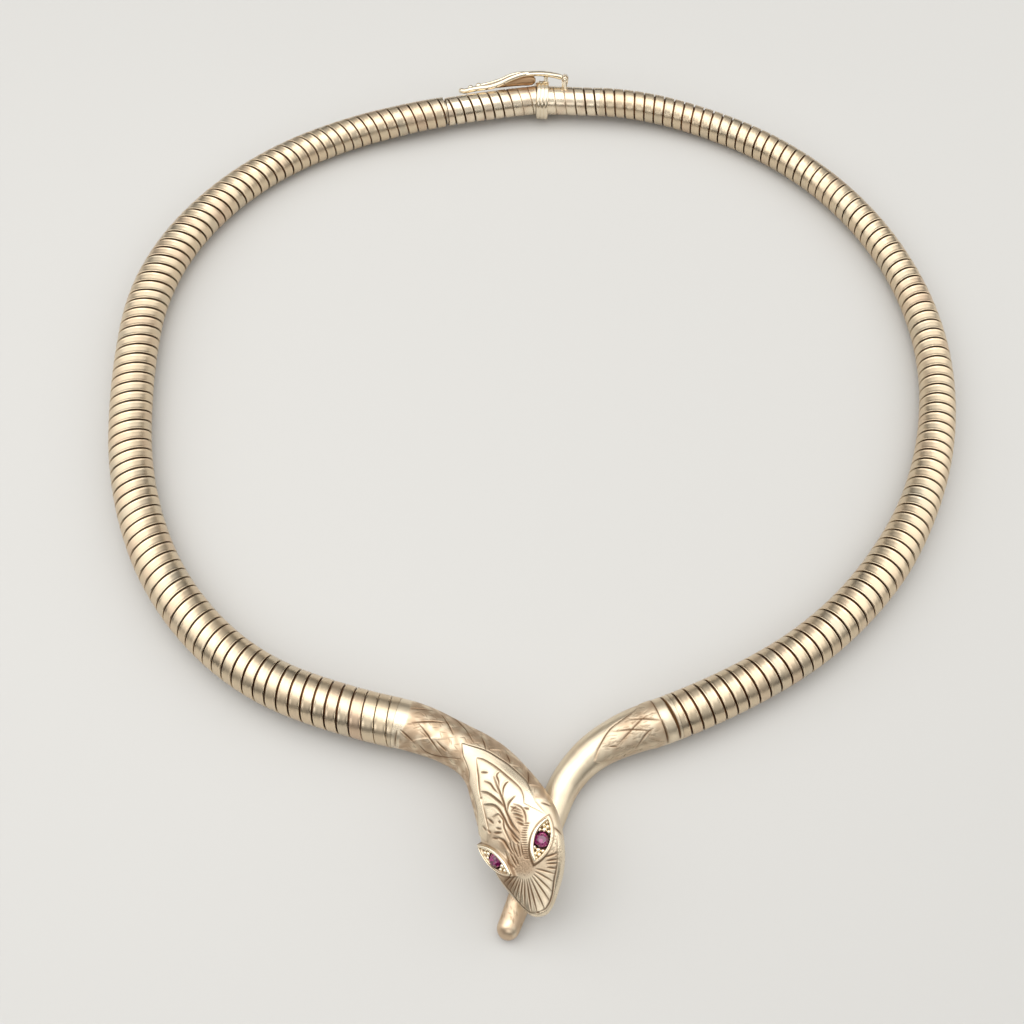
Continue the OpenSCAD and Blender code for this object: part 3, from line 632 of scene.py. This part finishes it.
headForms = {
    "strokes": 1.12,                 # width of the strokes above, as a share of what they say
    "band": [(11.2, 0), (13.1, 0.7), (14.8, 1.5), (16.7, 2.3), (18.2, 3.1), (20.1, 3.9), (21.6, 4.5), (23.2, 4.6),
             (24.9, 4.6), (27.0, 5.3), (25.6, 4.0), (24.4, 3.0), (23.5, 3.3), (22.3, 3.3), (20.8, 2.7), (19.7, 2.2),
             (18.3, 1.6), (16.8, 0.9), (15.2, 0.2), (14.7, -0.2), (16, -1.1), (17.5, -1.7), (19.6, -2.5),
             (21.5, -2.8), (23.8, -3.2), (26, -3.6), (27.0, -4.6), (24.9, -6.3), (22.3, -4.5), (19.8, -3.9),
             (17, -3.6), (15.5, -2.6), (12.5, -1.4)],
    "bandRise": 0.13,
    "neck": [(1.3, -12), (1.3, -4), (1.7, 0), (1.3, 4), (1.3, 12), (24, 12), (25.6, 7.5), (24.6, 4.6), (21.6, 4.5),
             (18.2, 3.1), (14.8, 1.5), (11.2, 0), (12.5, -1.4), (15.5, -2.6), (17, -3.6), (19.8, -3.9),
             (22.3, -4.5), (24.9, -6.3), (24, -12)],
    "border": [(30, 5.8), (32.8, 4.7), (33.9, 4.1), (35.1, 3.4), (36.6, 2.7), (37.6, 2.0), (38.3, 1.2),
               (38.55, 0.3)],
    "fan": (32.4, -0.2),
    "spokes": [94, 86, 80, 72, 63, 50, 36, 24, 12, 1, -7, -17, -26, -36, -44, -54, -65, -75],    # degrees
    "ticks": [(27.2, 2.3), (28.2, 1.5), (29.4, 1.05), (30.6, 0.85), (31.7, 0.65)],
    "punched": [(130, (32.0, -0.3), (1.6, 1.6), 0.19, 0.06), (70, (31.2, 5.0), (2.0, 0.8), 0.26, 0.08)],
    "hatch": 260,                    # short strokes on the neck
    "smudgesAndShade": [(25.6, 1.1, 1.7, 0.30), (27.9, 0.1, 1.5, 0.34), (28.7, -2.0, 1.1, 0.30), (24.3, -2.0, 1.3, 0.20),
                (23.0, 0.4, 1.2, 0.16), (26.4, -3.2, 0.9, 0.22), (30.2, 2.0, 0.9, 0.25), (34.0, -3.8, 1.9, 0.36),
                (31.6, -2.7, 0.9, 0.34)],    # brown stains, and at 34 mm painted shade on the fan's side towards the snake's right: distance, girth, reach, strength
    "seed": 5,
}

eye = {
    "at": 29.9, "out": 4, "shift": -0.5,
    "splay": {-1: 45, 1: 34}, "tilt": {-1: 26, 1: 26}, "noseDown": {-1: 15, 1: 8},    # degrees, for each side
    "length": {-1: 7.0, 1: 6.2}, "width": 2.45, "inward": 0.04,
    "lids": {"inner": 0.60, "outer": 0.16},    # wire of the eyelids
    "depth": 0.42,
    "stone": 2.06, "seat": 1.1, "seatDepth": 0.68, "collar": 1.15,
    "grains": [(0.69, 0.04, 0.26), (0.42, 0.34, 0.32), (0.39, -0.26, 0.33), (0.09, 0.06, 0.40), (-0.02, 0.74, 0.34),
               (0.05, -0.62, 0.32)],    # share of the way from the stone to the corner, inward, radius
}


def eyeFrame(side):    # 1 is the snake's left eye, -1 its right
    at = np.array([float(eye["at"])])
    out = side * eye["out"] + eye["shift"]
    row = smoothTable(head["sections"], at)[0]
    angle = math.acos(math.copysign((abs(out) / row[2]) ** (row[5] / 2), out))
    left, up, middle = sectionOffsets(at, np.array([angle]))
    heading = alongArcs(headStart, head["bends"], at)[2][0]
    return (Matrix.Translation(headPoint(at, left, middle + up)[0].tolist())
            @ Matrix.Rotation(heading, 4, "Z") @ Matrix.Rotation(math.radians(eye["noseDown"][side]), 4, "Y")
            @ Matrix.Rotation(math.radians(head["lean"] - side * eye["tilt"][side]), 4, "X")
            @ Matrix.Rotation(math.radians(-side * eye["splay"][side]), 4, "Z"))


def lidCircle(side):    # radius of the two circles that meet as an almond
    return (eye["length"][side] ** 2 / 4 + eye["width"] ** 2 / 4) / eye["width"]


def insideAlmond(x, y, side):    # or inside the circle round the stone
    r = lidCircle(side)
    shift = r - eye["width"] / 2
    y = y + side * eye["inward"]
    almond = r - np.maximum(np.hypot(x, y - shift), np.hypot(x, y + shift))
    return np.maximum(almond, eye["collar"] - np.hypot(x, y - side * eye["inward"]))


def fanLines():
    border = np.array(headForms["border"])
    middle = headForms["fan"]
    lines = [(0.24, 0.12, headForms["border"]),
             (0.24, 0.12, [(place, -girth) for place, girth in headForms["border"]]),
             (0.24, 0.12, [(38.55, 0.3), (38.6, 0), (38.55, -0.3)])]
    for degrees in headForms["spokes"]:
        way = (math.cos(math.radians(degrees)), math.sin(math.radians(degrees)))
        reach = np.linspace(0.5, 9, 400)
        s, girth = middle[0] + reach * way[0], middle[1] + reach * way[1]
        end = reach[np.argmax((np.abs(girth) > np.interp(s, border[:, 0], border[:, 1])) | (s > 38.5))]
        start = 3.3 if degrees > 66 else 1.7
        if end > start + 0.6:
            stops = (start, (start + end) / 2, end)
            lines.append((0.26, 0.13, [(middle[0] + stop * way[0], middle[1] + stop * way[1]) for stop in stops]))
    ticks = np.array(headForms["ticks"])
    for k in np.arange(0, len(ticks) - 1, 0.26):
        s, girth = (np.interp(k, np.arange(len(ticks)), ticks[:, column]) for column in (0, 1))
        lines.append((0.19, 0.09, [(s - 0.22, girth - 0.42), (s + 0.1, girth + 0.36)]))
    return lines


def headShape(u, v):
    s, girth, points = headGrid(u, v)
    dice = np.random.default_rng(headForms["seed"])
    strokes = [(headForms["strokes"] * width, deep, places) for width, deep, places in headLines] + fanLines()
    marks = [mark for punched in headForms["punched"] for mark in stipple(dice, *punched)]
    hatch, count = [], headForms["hatch"]
    for place, across, turn in zip(dice.uniform(1.8, 23, count), dice.uniform(-6, 6.5, count),
                                   dice.normal(0.5, 0.25, count)):
        way = 1 if across * dice.uniform(-1, 1) > 0 else -1
        end = (place + 0.9 * math.cos(turn), across + 0.9 * way * math.sin(turn))
        hatch.append((0.15, 0.035, [(place, across), end]))
    depth, dark = carve(s, girth, strokes)
    dotDepth, dotDark = carve(s, girth, marks)
    scratch, scratchDark = carve(s, girth, hatch)
    stain = carve(s, girth, [(width * 3, 0.1, places) for width, deep, places in strokes if deep > 0])[1]
    burr = carve(s, girth, [(width + 0.36, 0.045, places) for width, deep, places in strokes if deep > 0.1])[0]
    band = within(s, girth, headForms["band"])
    neck = ease(within(s, girth, headForms["neck"]) / 0.4)
    rise = headForms["bandRise"] * ease(band / 0.36 + 0.5)
    points = points + (rise + burr - depth - dotDepth - scratch * (neck > 0.9))[..., None] * outward(points)

    border = np.array(headForms["border"])
    rim = ease((np.abs(girth) - np.interp(s, border[:, 0], border[:, 1]) + 0.1) / 0.3) * ease((s - 29.5) / 2)
    fan = ease((s - 33.4) / 1) * (1 - rim)
    middle = ease(1.6 - np.hypot(s - 31.4, (girth + 0.3) * 1.15) / 1.8)
    flat = ease(band / 0.2)
    # brown stains, one of them painted shade on the fan's side towards the snake's right
    smudgeAndShade = np.zeros(s.shape)
    for place, across, reach, strength in headForms["smudgesAndShade"]:
        smudgeAndShade = np.maximum(smudgeAndShade, strength * ease(1.25 - np.hypot(s - place, girth - across) / reach))
    mottle = np.sin(2.1 * s + 1.3 * np.sin(1.9 * girth)) * np.sin(1.7 * girth + 1.1 * np.sin(1.3 * s))
    matte = np.clip(np.maximum(0.9 * neck, 0.85 * middle) + 0.25 - 0.25 * flat - 0.2 * rim, 0, 1)
    soft = np.maximum(0.30 * stain * (1 - 0.6 * fan), 0.26 * middle) + smudgeAndShade + 0.14 * (0.6 + mottle) * neck
    cut = np.clip(np.max([dark, 0.7 * dotDark, 0.5 * scratchDark * neck, soft * (1 - 0.8 * rim)], axis=0), 0, 1)
    tone = ((0.5 + 0.35 * mottle) * neck + 0.55 * middle - 0.1 * flat + 0.9 * smudgeAndShade
            + (0.25 * ease((s - 24) / 4) * (1 - fan) + 0.35 * fan * ease(0.2 - girth / 3)) * (1 - rim))
    for side in (-1, 1):
        place = eyeFrame(side)
        local = unplaced(points, place)
        x, y, z = local[..., 0], local[..., 1], local[..., 2]
        inside = np.where(np.abs(z) < 2.4, insideAlmond(x, y, side), -9)
        z = z + np.maximum(-0.03 - z, 0) * ease((inside + 0.5) / 0.3)
        floor = -eye["depth"] - eye["seatDepth"] * ease((eye["seat"] - np.hypot(x, y)) / 0.12 + 0.5)
        well = ease((inside - 0.1) / 0.16)
        local[..., 2] = z + (floor - z) * well
        points = np.where((inside > -0.6)[..., None], placed(local, place), points)
        # painted shade on the floor of the eye's well, and a painted shadow line just outside the lids
        cut = np.max([cut, 0.9 * well, 0.75 * ease(1 - np.abs(inside + 0.36) / 0.2)], axis=0)
        matte = np.maximum(matte, 0.5 * well)
    points[-1] = points[-1].mean(axis=0)
    onTop = np.sin(math.pi * u) ** 0.5 > 0.2
    return points, {"cut": cut * onTop, "matte": matte, "tone": tone, "along": 0.5 * s, "around": 6 * girth}


headPiece = gridShell("castHead", 210, 460, headShape)
finishMesh(headPiece, "collar", "castGold", sharp=60)
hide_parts("head")
print("head made")


def joinPieces(name, pieces):
    bm = bmesh.new()
    for piece in pieces:
        bm.from_mesh(piece.data)
        bpy.data.objects.remove(piece)
    return meshObject(name, bm)


def ball(name, matrix, place, radius):    # lengths in mm in the frame of the matrix
    at = Matrix.Scale(mm, 4) @ matrix @ Matrix.Translation(place) @ Matrix.Scale(1 / mm, 4)
    bm = bmesh.new()
    bmesh.ops.create_icosphere(bm, subdivisions=3, radius=radius * mm, matrix=at)
    return meshObject(name, bm)


# An oval bar through rows of x, y, z, half width and half thickness
def sweep(name, rows, side, matrix, around=20, step=0.12):
    table = np.array(rows, float)
    steps = np.linalg.norm(np.diff(table[:, :3], axis=0), axis=1)
    table = np.column_stack([np.concatenate([[0], np.cumsum(steps)]), table])
    length = table[-1, 0]

    def shape(u, v):
        along = length * (0.5 - 0.5 * np.cos(math.pi * v)) if length < 2 else length * v
        at = smoothTable(table, along)
        before, after = np.maximum(along - 0.02, 0), np.minimum(along + 0.02, length)
        ahead = (smoothTable(table, after) - smoothTable(table, before))[..., 1:4]
        way = ahead / np.linalg.norm(ahead, axis=-1, keepdims=True)
        up = np.cross(np.array(side, float), way)
        up /= np.linalg.norm(up, axis=-1, keepdims=True)
        wide = np.cross(way, up)
        cap = at[..., 5]
        end = np.minimum(along, length - along)
        share = np.sqrt(np.clip(1 - (1 - end / cap) ** 2, 0, 1)) * (end < cap) + (end >= cap)
        angle = 2 * math.pi * u
        points = (at[..., 1:4] + (at[..., 4] * share * np.sin(angle))[..., None] * wide
                  + (at[..., 5] * share * np.cos(angle))[..., None] * up)
        return placed(points, matrix), {}

    return gridShell(name, around, max(int(length / step), 12), shape)


# Eyelids and grains
for side, name in ((1, "Left"), (-1, "Right")):
    place = eyeFrame(side)
    r = lidCircle(side)
    half = math.asin(eye["length"][side] / 2 / r)
    parts = []
    for edge, wire in ((-side, eye["lids"]["inner"]), (side, eye["lids"]["outer"])):
        rows = []
        for t in np.linspace(-1, 1, 17):
            size = wire / 2 * (0.5 + 0.5 * math.sqrt(1 - 0.98 * t * t))
            x = r * math.sin(half * t)
            y = edge * (r * math.cos(half * t) - r + eye["width"] / 2) - side * eye["inward"]
            if edge == side and abs(x) < eye["collar"]:
                y = side * max(abs(y), math.sqrt(eye["collar"] ** 2 - x * x))
            rows.append((x, y, 0.1, size * 1.1, size))
        parts.append(sweep("lid", rows, (0, 0, 1), place, around=18, step=0.06))
    for end, (share, inward, size) in [(end, grain) for end in (-1, 1) for grain in eye["grains"]]:
        x = end * (1.3 + share * (eye["length"][side] / 2 - 1.3))
        parts.append(ball("grain", place, (x, -side * inward, 0.08 - eye["depth"]), size))
    setting = joinPieces("eyeSetting" + name, parts)
    finishMesh(setting, "collar", "wireGold", sharp=60)
print("eyes set")

# Clasp, in the frame of its band: x along the collar to the tongue, y out to the lever, z along the hinge
clasp = {
    "height": 3.6, "turn": 130,      # of the middle line over the floor; degrees from the floor to the lever's side
    "sleeve": 2.6, "band": 3.55, "bandWidth": 2.2, "reeds": 3,    # radii and length
    "reedDepth": 0.18,
    "bore": 1.9, "tongue": 1.8, "tongueLength": 8.9,
    "groove": 0.38,                  # where the tongue's sleeve ends
    "seamDepth": 0.32,
    "hinge": (-5.2, 4.15), "barrel": 0.66, "pin": 0.35, "earThick": 0.5,
    "slot": (-2.2, -0.35, 1.3),      # from and to, and its width
}
atBand = np.array([bandEnd - 0.001])
heading = float(alongArcs(collar["start"], loopRows, atBand)[2][0])
claspPlace = (Matrix.Translation(onTube(atBand, np.zeros(1), 0, clasp["height"])[0].tolist())
              @ Matrix.Rotation(heading, 4, "Z") @ Matrix.Rotation(math.radians(clasp["turn"]), 4, "X"))
inClasp = Matrix.Scale(mm, 4) @ claspPlace


# Turned about the collar's middle line, from rows of place, radius and whether the surface is wound
def lathe(name, rows, fromS, phase, bandAt, clear=None):
    table = np.array(rows, float)

    def shape(u, v):
        k = np.rint(v * (len(table) - 1)).astype(int)
        s, radius, turned = table[k, 0], table[k, 1], table[k, 2]
        angle = 2 * math.pi * u
        fromBand = np.abs(s - bandAt)
        far = ease((fromBand - 2.5) / 5)    # the seams fade towards the band
        seam = ease(1 - seamGap(s, angle, fromS, phase) / (0.14 + 0.1 * far))
        seam = seam * turned * (0.4 + 0.6 * far) * (fromBand > 0.8)
        points = onTube(s, angle, radius - clasp["seamDepth"] * seam, clasp["height"])
        if clear is not None:
            local = unplaced(points, claspPlace)
            local[..., 0] = np.where(s > bandEnd + 0.05, np.maximum(local[..., 0], clear), local[..., 0])
            points = placed(local, claspPlace)
        # valley darkens the valleys between the band's reeds; shade is painted shade on the sleeves' top under the
        # lever, darker and pinker
        valley = (1 - turned) * ease((clasp["band"] - 0.2 - radius) / 0.2)
        shade = ease(np.cos(angle - math.radians(clasp["turn"] - 6)) * 2 - 0.7) * turned * ease(1.6 - fromBand / 7)
        patch = 0.16 * np.sin(1.7 * s + 2 * np.sin(angle)) * turned
        cut = np.clip(seam * 1.3 + 0.4 * valley + 0.1 * shade, 0, 1)
        return points, {"cut": cut, "matte": 0.15 + 0.35 * turned, "tone": patch + 0.1 * turned + 0.16 * shade,
                        "along": 8 * s, "around": 0.25 * angle * radius}

    return gridShell(name, 128, len(table) - 1, shape)


def bake(obj):
    mesh = bpy.data.meshes.new_from_object(obj.evaluated_get(bpy.context.evaluated_depsgraph_get()))
    obj.modifiers.clear()
    obj.data = mesh


def cutSlot(obj):    # where the catch drops in
    low, high, wide = clasp["slot"]
    bm = bmesh.new()
    bmesh.ops.create_cube(bm, size=1, matrix=inClasp @ Matrix.Translation(((low + high) / 2, 3.2, 0))
                          @ Matrix.Diagonal((high - low, 3.4, wide, 1)))
    cutter = meshObject("slotCutter", bm)
    hole = obj.modifiers.new("slot", "BOOLEAN")
    hole.object = cutter
    hole.operation = "DIFFERENCE"
    bake(obj)
    bpy.data.objects.remove(cutter)


bore, sleeve, band = clasp["bore"], clasp["sleeve"], clasp["band"]
bandStart = bandEnd - clasp["bandWidth"]
socketRows = [(tailSideEnd, bore, 0), (tailSideEnd, sleeve, 0)]
socketRows += [(s, sleeve, 1) for s in np.arange(tailSideEnd + 0.02, bandStart, 0.07)]
socketRows += [(bandStart, sleeve, 0)]
for t in np.linspace(0.01, clasp["reeds"] - 0.01, 54):
    swell = math.sqrt(max(1 - (2 * (t % 1) - 1) ** 2, 0))
    radius = band - clasp["reedDepth"] + clasp["reedDepth"] * swell - 0.1 * (2 * t / clasp["reeds"] - 1) ** 2
    socketRows.append((bandStart + t * clasp["bandWidth"] / clasp["reeds"], radius, 0))
socketRows += [(bandEnd, band - 0.3, 0), (bandEnd, bore, 0), (tailSideEnd, bore, 0)]
socket = lathe("socketSleeve", socketRows, 0, strip["phases"][0], bandStart)
cutSlot(socket)

ears = []
hingeX, hingeY = clasp["hinge"]
atHinge = claspPlace @ Matrix.Translation((hingeX, hingeY, 0))
thick, knuckle = clasp["earThick"], clasp["barrel"]
for side in (-1, 1):
    bm = bmesh.new()
    at = inClasp @ Matrix.Translation((hingeX, 0, side * (0.69 + thick / 2)))
    bmesh.ops.create_cone(bm, cap_ends=True, segments=32, radius1=knuckle, radius2=knuckle, depth=thick,
                          matrix=at @ Matrix.Translation((0, hingeY, 0)))
    bmesh.ops.create_cube(bm, size=1, matrix=at @ Matrix.Translation((0.1, 2.6, 0))
                          @ Matrix.Diagonal((0.8, 0.9, thick, 1)))
    bmesh.ops.convex_hull(bm, input=bm.verts)
    bmesh.ops.recalc_face_normals(bm, faces=bm.faces)
    edges = [edge for edge in bm.edges if edge.calc_face_angle(0) > math.radians(50)]
    bmesh.ops.bevel(bm, geom=edges, offset=0.1 * mm, offset_type="OFFSET", segments=3, profile=0.5, affect="EDGES",
                    clamp_overlap=True, material=-1)
    ears.append(meshObject("ear", bm))
socket = joinPieces("claspSocket", [socket] + ears)
finishMesh(socket, "collar", "claspGold", sharp=50)
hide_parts("clasp_socket")

inner, tip, end = clasp["tongue"], bandEnd - clasp["tongueLength"], headSideStart - 0.02
tongueRows = [(tip, 0, 0), (tip, inner, 0)]
tongueRows += [(s, inner, 0) for s in np.arange(tip + 0.2, bandEnd, 0.4)]
tongueRows += [(bandEnd + 0.1, inner, 0), (bandEnd + 0.1, sleeve + 0.02, 0), (bandEnd + 0.2, sleeve + 0.1, 0)]
tongueRows += [(s, sleeve + 0.1 * max(0.0, 1 - (s - bandEnd) / 1.2), 1)
               for s in np.arange(bandEnd + 0.27, headSideStart - 0.47, 0.07)]
tongueRows += [(headSideStart - 0.45, sleeve - 0.1, 0), (headSideStart - 0.4, sleeve - clasp["groove"], 0),
               (end, sleeve - clasp["groove"], 0), (end, 0, 0)]
tongue = lathe("claspTongue", tongueRows, headSideStart, strip["phases"][1], bandEnd, clear=0.1)
cutSlot(tongue)
finishMesh(tongue, "collar", "claspGold", sharp=50)
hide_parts("clasp_tongue")


def pipe(name, inner, outer, length, matrix):    # a round bar or ring along z, its rims rounded
    rim = 0.09
    half = length / 2
    rows = [(half - rim, outer), (half - 0.3 * rim, outer - 0.3 * rim), (half, outer - rim), (half, inner)]
    rows = np.array([(-z, r) for z, r in reversed(rows)] + rows + [(-half, inner)])

    def shape(u, v):
        k = np.rint(v * (len(rows) - 1)).astype(int)
        z, radius = rows[k, 0], rows[k, 1]
        points = np.stack([radius * np.cos(2 * math.pi * u), radius * np.sin(2 * math.pi * u), z], -1)
        return placed(points, matrix), {}

    return gridShell(name, 48, len(rows) - 1, shape)


pin = pipe("hingePin", 0.0, clasp["pin"], 2.56, atHinge)
finishMesh(pin, "collar", "wireGold", sharp=50)
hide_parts("hinge_pin")

# Lever, in rows of place along the collar and height over the sleeve, then what each comment says
lever = {
    "arm": [(-4.78, 1.62, 0.5), (-4.2, 1.8, 0.58), (-3.4, 1.98, 0.8), (-2.2, 2.16, 0.95), (-0.7, 2.27, 1.1),
            (1.2, 2.2, 1.25), (2.6, 1.98, 1.3)],    # half width
    "armThick": 0.52,
    "wires": [(1.4, 2.16, 0.6), (3.1, 1.88, 0.95), (5, 1.2, 1.25), (6.9, 0.3, 1.4), (8.8, -0.38, 1.4),
              (10.7, -0.7, 1.25), (12.4, -1.06, 1.0), (13.6, -1.42, 0.7), (14.3, -1.4, 0.3),
              (14.5, -1.35, 0)],    # from the middle
    "wire": {-1: 0.5, 1: 0.32},      # radius of the near and the far one
    "rise": {-1: 0.1, 1: 0.5},       # of each, the far one's in its middle only
    "lumps": [(11.2, -0.45, 1.05, 0.55), (12.7, -0.9, 1.05, 0.55), (14.4, -1.35, 0, 0.53)],    # z, radius
    "catch": (-1.6, 1.65, 0.4),      # place, lowest radius, half width
    "catchTop": 1.95,
    "shadePlate": [(0.35, 1.3, 0.45, 0.6), (1.2, 1.02, 0.5, 0.92), (3.0, 0.86, 0.5, 0.95), (5.0, 0.42, 0.5, 0.72),
            (6.6, -0.02, 0.46, 0.5), (8.0, -0.42, 0.4, 0.3)],    # brown plate under the arm, painted shade between the lever and the sleeve: half width, half height
    "fusing": 0.07,
}
armRows = [(x, sleeve + up, 0, wide, lever["armThick"]) for x, up, wide in lever["arm"]]
parts = [sweep("arm", armRows, (0, 0, 1), claspPlace, around=24)]
for side, radius in lever["wire"].items():
    rows = []
    for x, up, out in lever["wires"]:
        share = 1 if side < 0 else float(ease((x - 1.5) / 3) * ease((12.5 - x) / 3))
        rows.append((x, sleeve + up + lever["rise"][side] * share, side * out, radius, radius))
    parts.append(sweep("wire", rows, (0, 0, 1), claspPlace, around=16))
parts += [ball("lump", claspPlace, (x, sleeve + up, z), radius) for x, up, z, radius in lever["lumps"]]
x, low, radius = lever["catch"]
high = sleeve + lever["catchTop"]
bm = bmesh.new()
bmesh.ops.create_cone(bm, cap_ends=True, segments=24, radius1=radius, radius2=radius, depth=high - low,
                      matrix=inClasp @ Matrix.Translation((x, (high + low) / 2, 0))
                      @ Matrix.Rotation(math.radians(90), 4, "X"))
parts.append(meshObject("catch", bm))
parts.append(pipe("barrel", clasp["pin"] + 0.04, knuckle, 1.2, atHinge))
leverPiece = joinPieces("leverArm", parts)
leverPiece.data.transform(Matrix.Scale(1 / mm, 4))
fuse = leverPiece.modifiers.new("fuse", "REMESH")
fuse.mode = "VOXEL"
fuse.voxel_size = lever["fusing"]
soften = leverPiece.modifiers.new("soften", "SMOOTH")
soften.factor, soften.iterations = 0.5, 5
bake(leverPiece)
leverPiece.data.transform(Matrix.Scale(mm, 4))
finishMesh(leverPiece, "lever", "wireGold", sharp=70)
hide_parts("clasp_lever")
# a brown plate painted as shade under the lever arm
shadePlateRows = [(x, sleeve + up, 0, wide, high) for x, up, wide, high in lever["shadePlate"]]
shadePlate = sweep("leverShadePlate", shadePlateRows, (0, 0, 1), claspPlace, around=32)
finishMesh(shadePlate, "lever", "leverShadeBrown", sharp=60)
print("clasp made")

# Stones: a table, crown facets, a thin girdle and a pointed back
stone = {
    "rings": [(8, 0.55, 0.35, 0), (8, 0.81, 0.13, 22.5), (16, 1, -0.18, 11.25), (16, 1, -0.3, 11.25),
              (8, 0.46, -0.77, 22.5), (8, 0.08, -1.05, 0)],    # corners, share of the radius, height, degrees
    "colours": [(0.0, (0.02, 0.001, 0.009)), (0.45, (0.15, 0.004, 0.065)), (0.7, (0.30, 0.012, 0.14)),
                (0.93, (0.58, 0.16, 0.36))],    # the ruby's red with painted reflections, from the darkest facets to the brightest
    "seed": 3,
}
rubyRed = bpy.data.materials.new("rubyRed")
rubyRed.use_nodes = True
tree = rubyRed.node_tree
# painted reflections: a random brightness for each of the facets, mixed with painted glints from small cells inside
# the stone
facetReflection = addNode(tree, "Attribute", attribute_name="facetReflection").outputs["Fac"]
inside = addNode(tree, "TexVoronoi", {"Vector": addNode(tree, "TexCoord").outputs["Object"], "Scale": 2300})
glint = addNode(tree, "SeparateColor", {0: inside.outputs["Color"]})
mixed = addNode(tree, "Mix", {"Factor": 0.55, 2: facetReflection, 3: glint.outputs[0]})
surface = tree.nodes["Principled BSDF"].inputs
tree.links.new(rampOf(tree, mixed.outputs[0], stone["colours"]), surface["Base Color"])
surface["Roughness"].default_value = 0.06
surface["IOR"].default_value = 1.77
surface["Specular IOR Level"].default_value = 0.5

for side, node in ((1, "ruby_left"), (-1, "ruby_right")):
    place = eyeFrame(side)
    bm = bmesh.new()
    for count, share, height, turn in stone["rings"]:
        for k in range(count):
            angle = 2 * math.pi * k / count + math.radians(turn)
            radius = share * eye["stone"] / 2
            bm.verts.new(place @ Vector((radius * math.cos(angle), radius * math.sin(angle), height)) * mm)
    bmesh.ops.convex_hull(bm, input=bm.verts)
    bmesh.ops.dissolve_limit(bm, angle_limit=math.radians(1), verts=bm.verts, edges=bm.edges)
    bmesh.ops.recalc_face_normals(bm, faces=bm.faces)
    ruby = meshObject("cutStone" + ("Left" if side > 0 else "Right"), bm)
    # a random painted reflection brightness for each of the facets
    dice = np.random.default_rng(stone["seed"] + side)
    layer = ruby.data.attributes.new("facetReflection", "FLOAT", "FACE")
    layer.data.foreach_set("value", dice.beta(1.3, 2.2, len(ruby.data.polygons)).astype(np.float32))
    ruby.data.materials.append(rubyRed)
    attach(ruby, "collar")
    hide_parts(node)
print("stones cut")

# Floor, light and camera
studio = {
    "floor": (0.55, 0.545, 0.53), "floorHalf": 0.54,
    "sky": [(0.0, 0.04), (0.2, 0.06), (0.42, 0.5), (1.0, 0.74)],    # height of the direction, brightness
    "lights": [    # where from, aimed at, width and height, watts, colour
        ((-0.36, 0.08, 0.21), (-0.19, 0.08, 0.0), (0.46, 1.2), 1.95, (1.0, 0.99, 0.97)),
        ((0.36, 0.08, 0.21), (0.19, 0.08, 0.0), (0.46, 1.2), 1.95, (1.0, 0.99, 0.97)),
        ((-0.11, -0.06, 0.19), (-0.01, -0.085, 0.01), (0.17, 0.12), 0.065, (1.0, 0.99, 0.98)),
        ((-0.03, -0.28, 0.17), (0.0, -0.1, 0.005), (0.18, 0.10), 0.08, (1.0, 0.99, 0.98)),
    ],
    "backdrop": (0.72, 0.71, 0.69),
    "target": (-3.677, -10.632, 0),
    "distance": 235,
    "elevation": 63,
    "lens": 50,
}

floorMaterial = bpy.data.materials.new("paleFloor")
floorMaterial.use_nodes = True
floorSurface = floorMaterial.node_tree.nodes["Principled BSDF"]
floorSurface.inputs["Base Color"].default_value = (*studio["floor"], 1)
floorSurface.inputs["Roughness"].default_value = 0.9
bm = bmesh.new()
bmesh.ops.create_grid(bm, x_segments=1, y_segments=1, size=studio["floorHalf"])
floor = meshObject("floor", bm)
floor.data.materials.append(floorMaterial)

world = bpy.data.worlds.new("studioWorld")
bpy.context.scene.world = world
world.use_nodes = True
sky = world.node_tree
way = addNode(sky, "SeparateXYZ", {0: addNode(sky, "TexCoord").outputs["Generated"]})
stops = [(height, (bright, bright * 0.99, bright * 0.97)) for height, bright in studio["sky"]]
shades = rampOf(sky, way.outputs["Z"], stops)
seen = addNode(sky, "LightPath").outputs["Is Camera Ray"]
behind = addNode(sky, "Mix", {"Factor": seen, 6: shades, 7: (*studio["backdrop"], 1)}, data_type="RGBA")
sky.links.new(behind.outputs[2], sky.nodes["Background"].inputs["Color"])
for index, (place, aim, size, watts, colour) in enumerate(studio["lights"]):
    data = bpy.data.lights.new(f"softbox{index}", "AREA")
    data.shape = "RECTANGLE"
    data.size, data.size_y = size
    data.energy = watts
    data.color = colour
    lamp = bpy.data.objects.new(f"softbox{index}", data)
    bpy.context.scene.collection.objects.link(lamp)
    lamp.location = place
    lamp.rotation_euler = (Vector(aim) - Vector(place)).to_track_quat("-Z", "Y").to_euler()

cameraData = bpy.data.cameras.new("camera")
cameraData.lens = studio["lens"]
cameraData.clip_start = 0.005
camera = bpy.data.objects.new("camera", cameraData)
bpy.context.scene.collection.objects.link(camera)
rise = math.radians(studio["elevation"])
target = Vector(studio["target"]) * mm
camera.location = target + Vector((0, -math.cos(rise), math.sin(rise))) * studio["distance"] * mm
camera.rotation_euler = (target - camera.location).to_track_quat("-Z", "Y").to_euler()
bpy.context.scene.camera = camera
bpy.context.scene.view_settings.view_transform = "Standard"

print("scene complete")
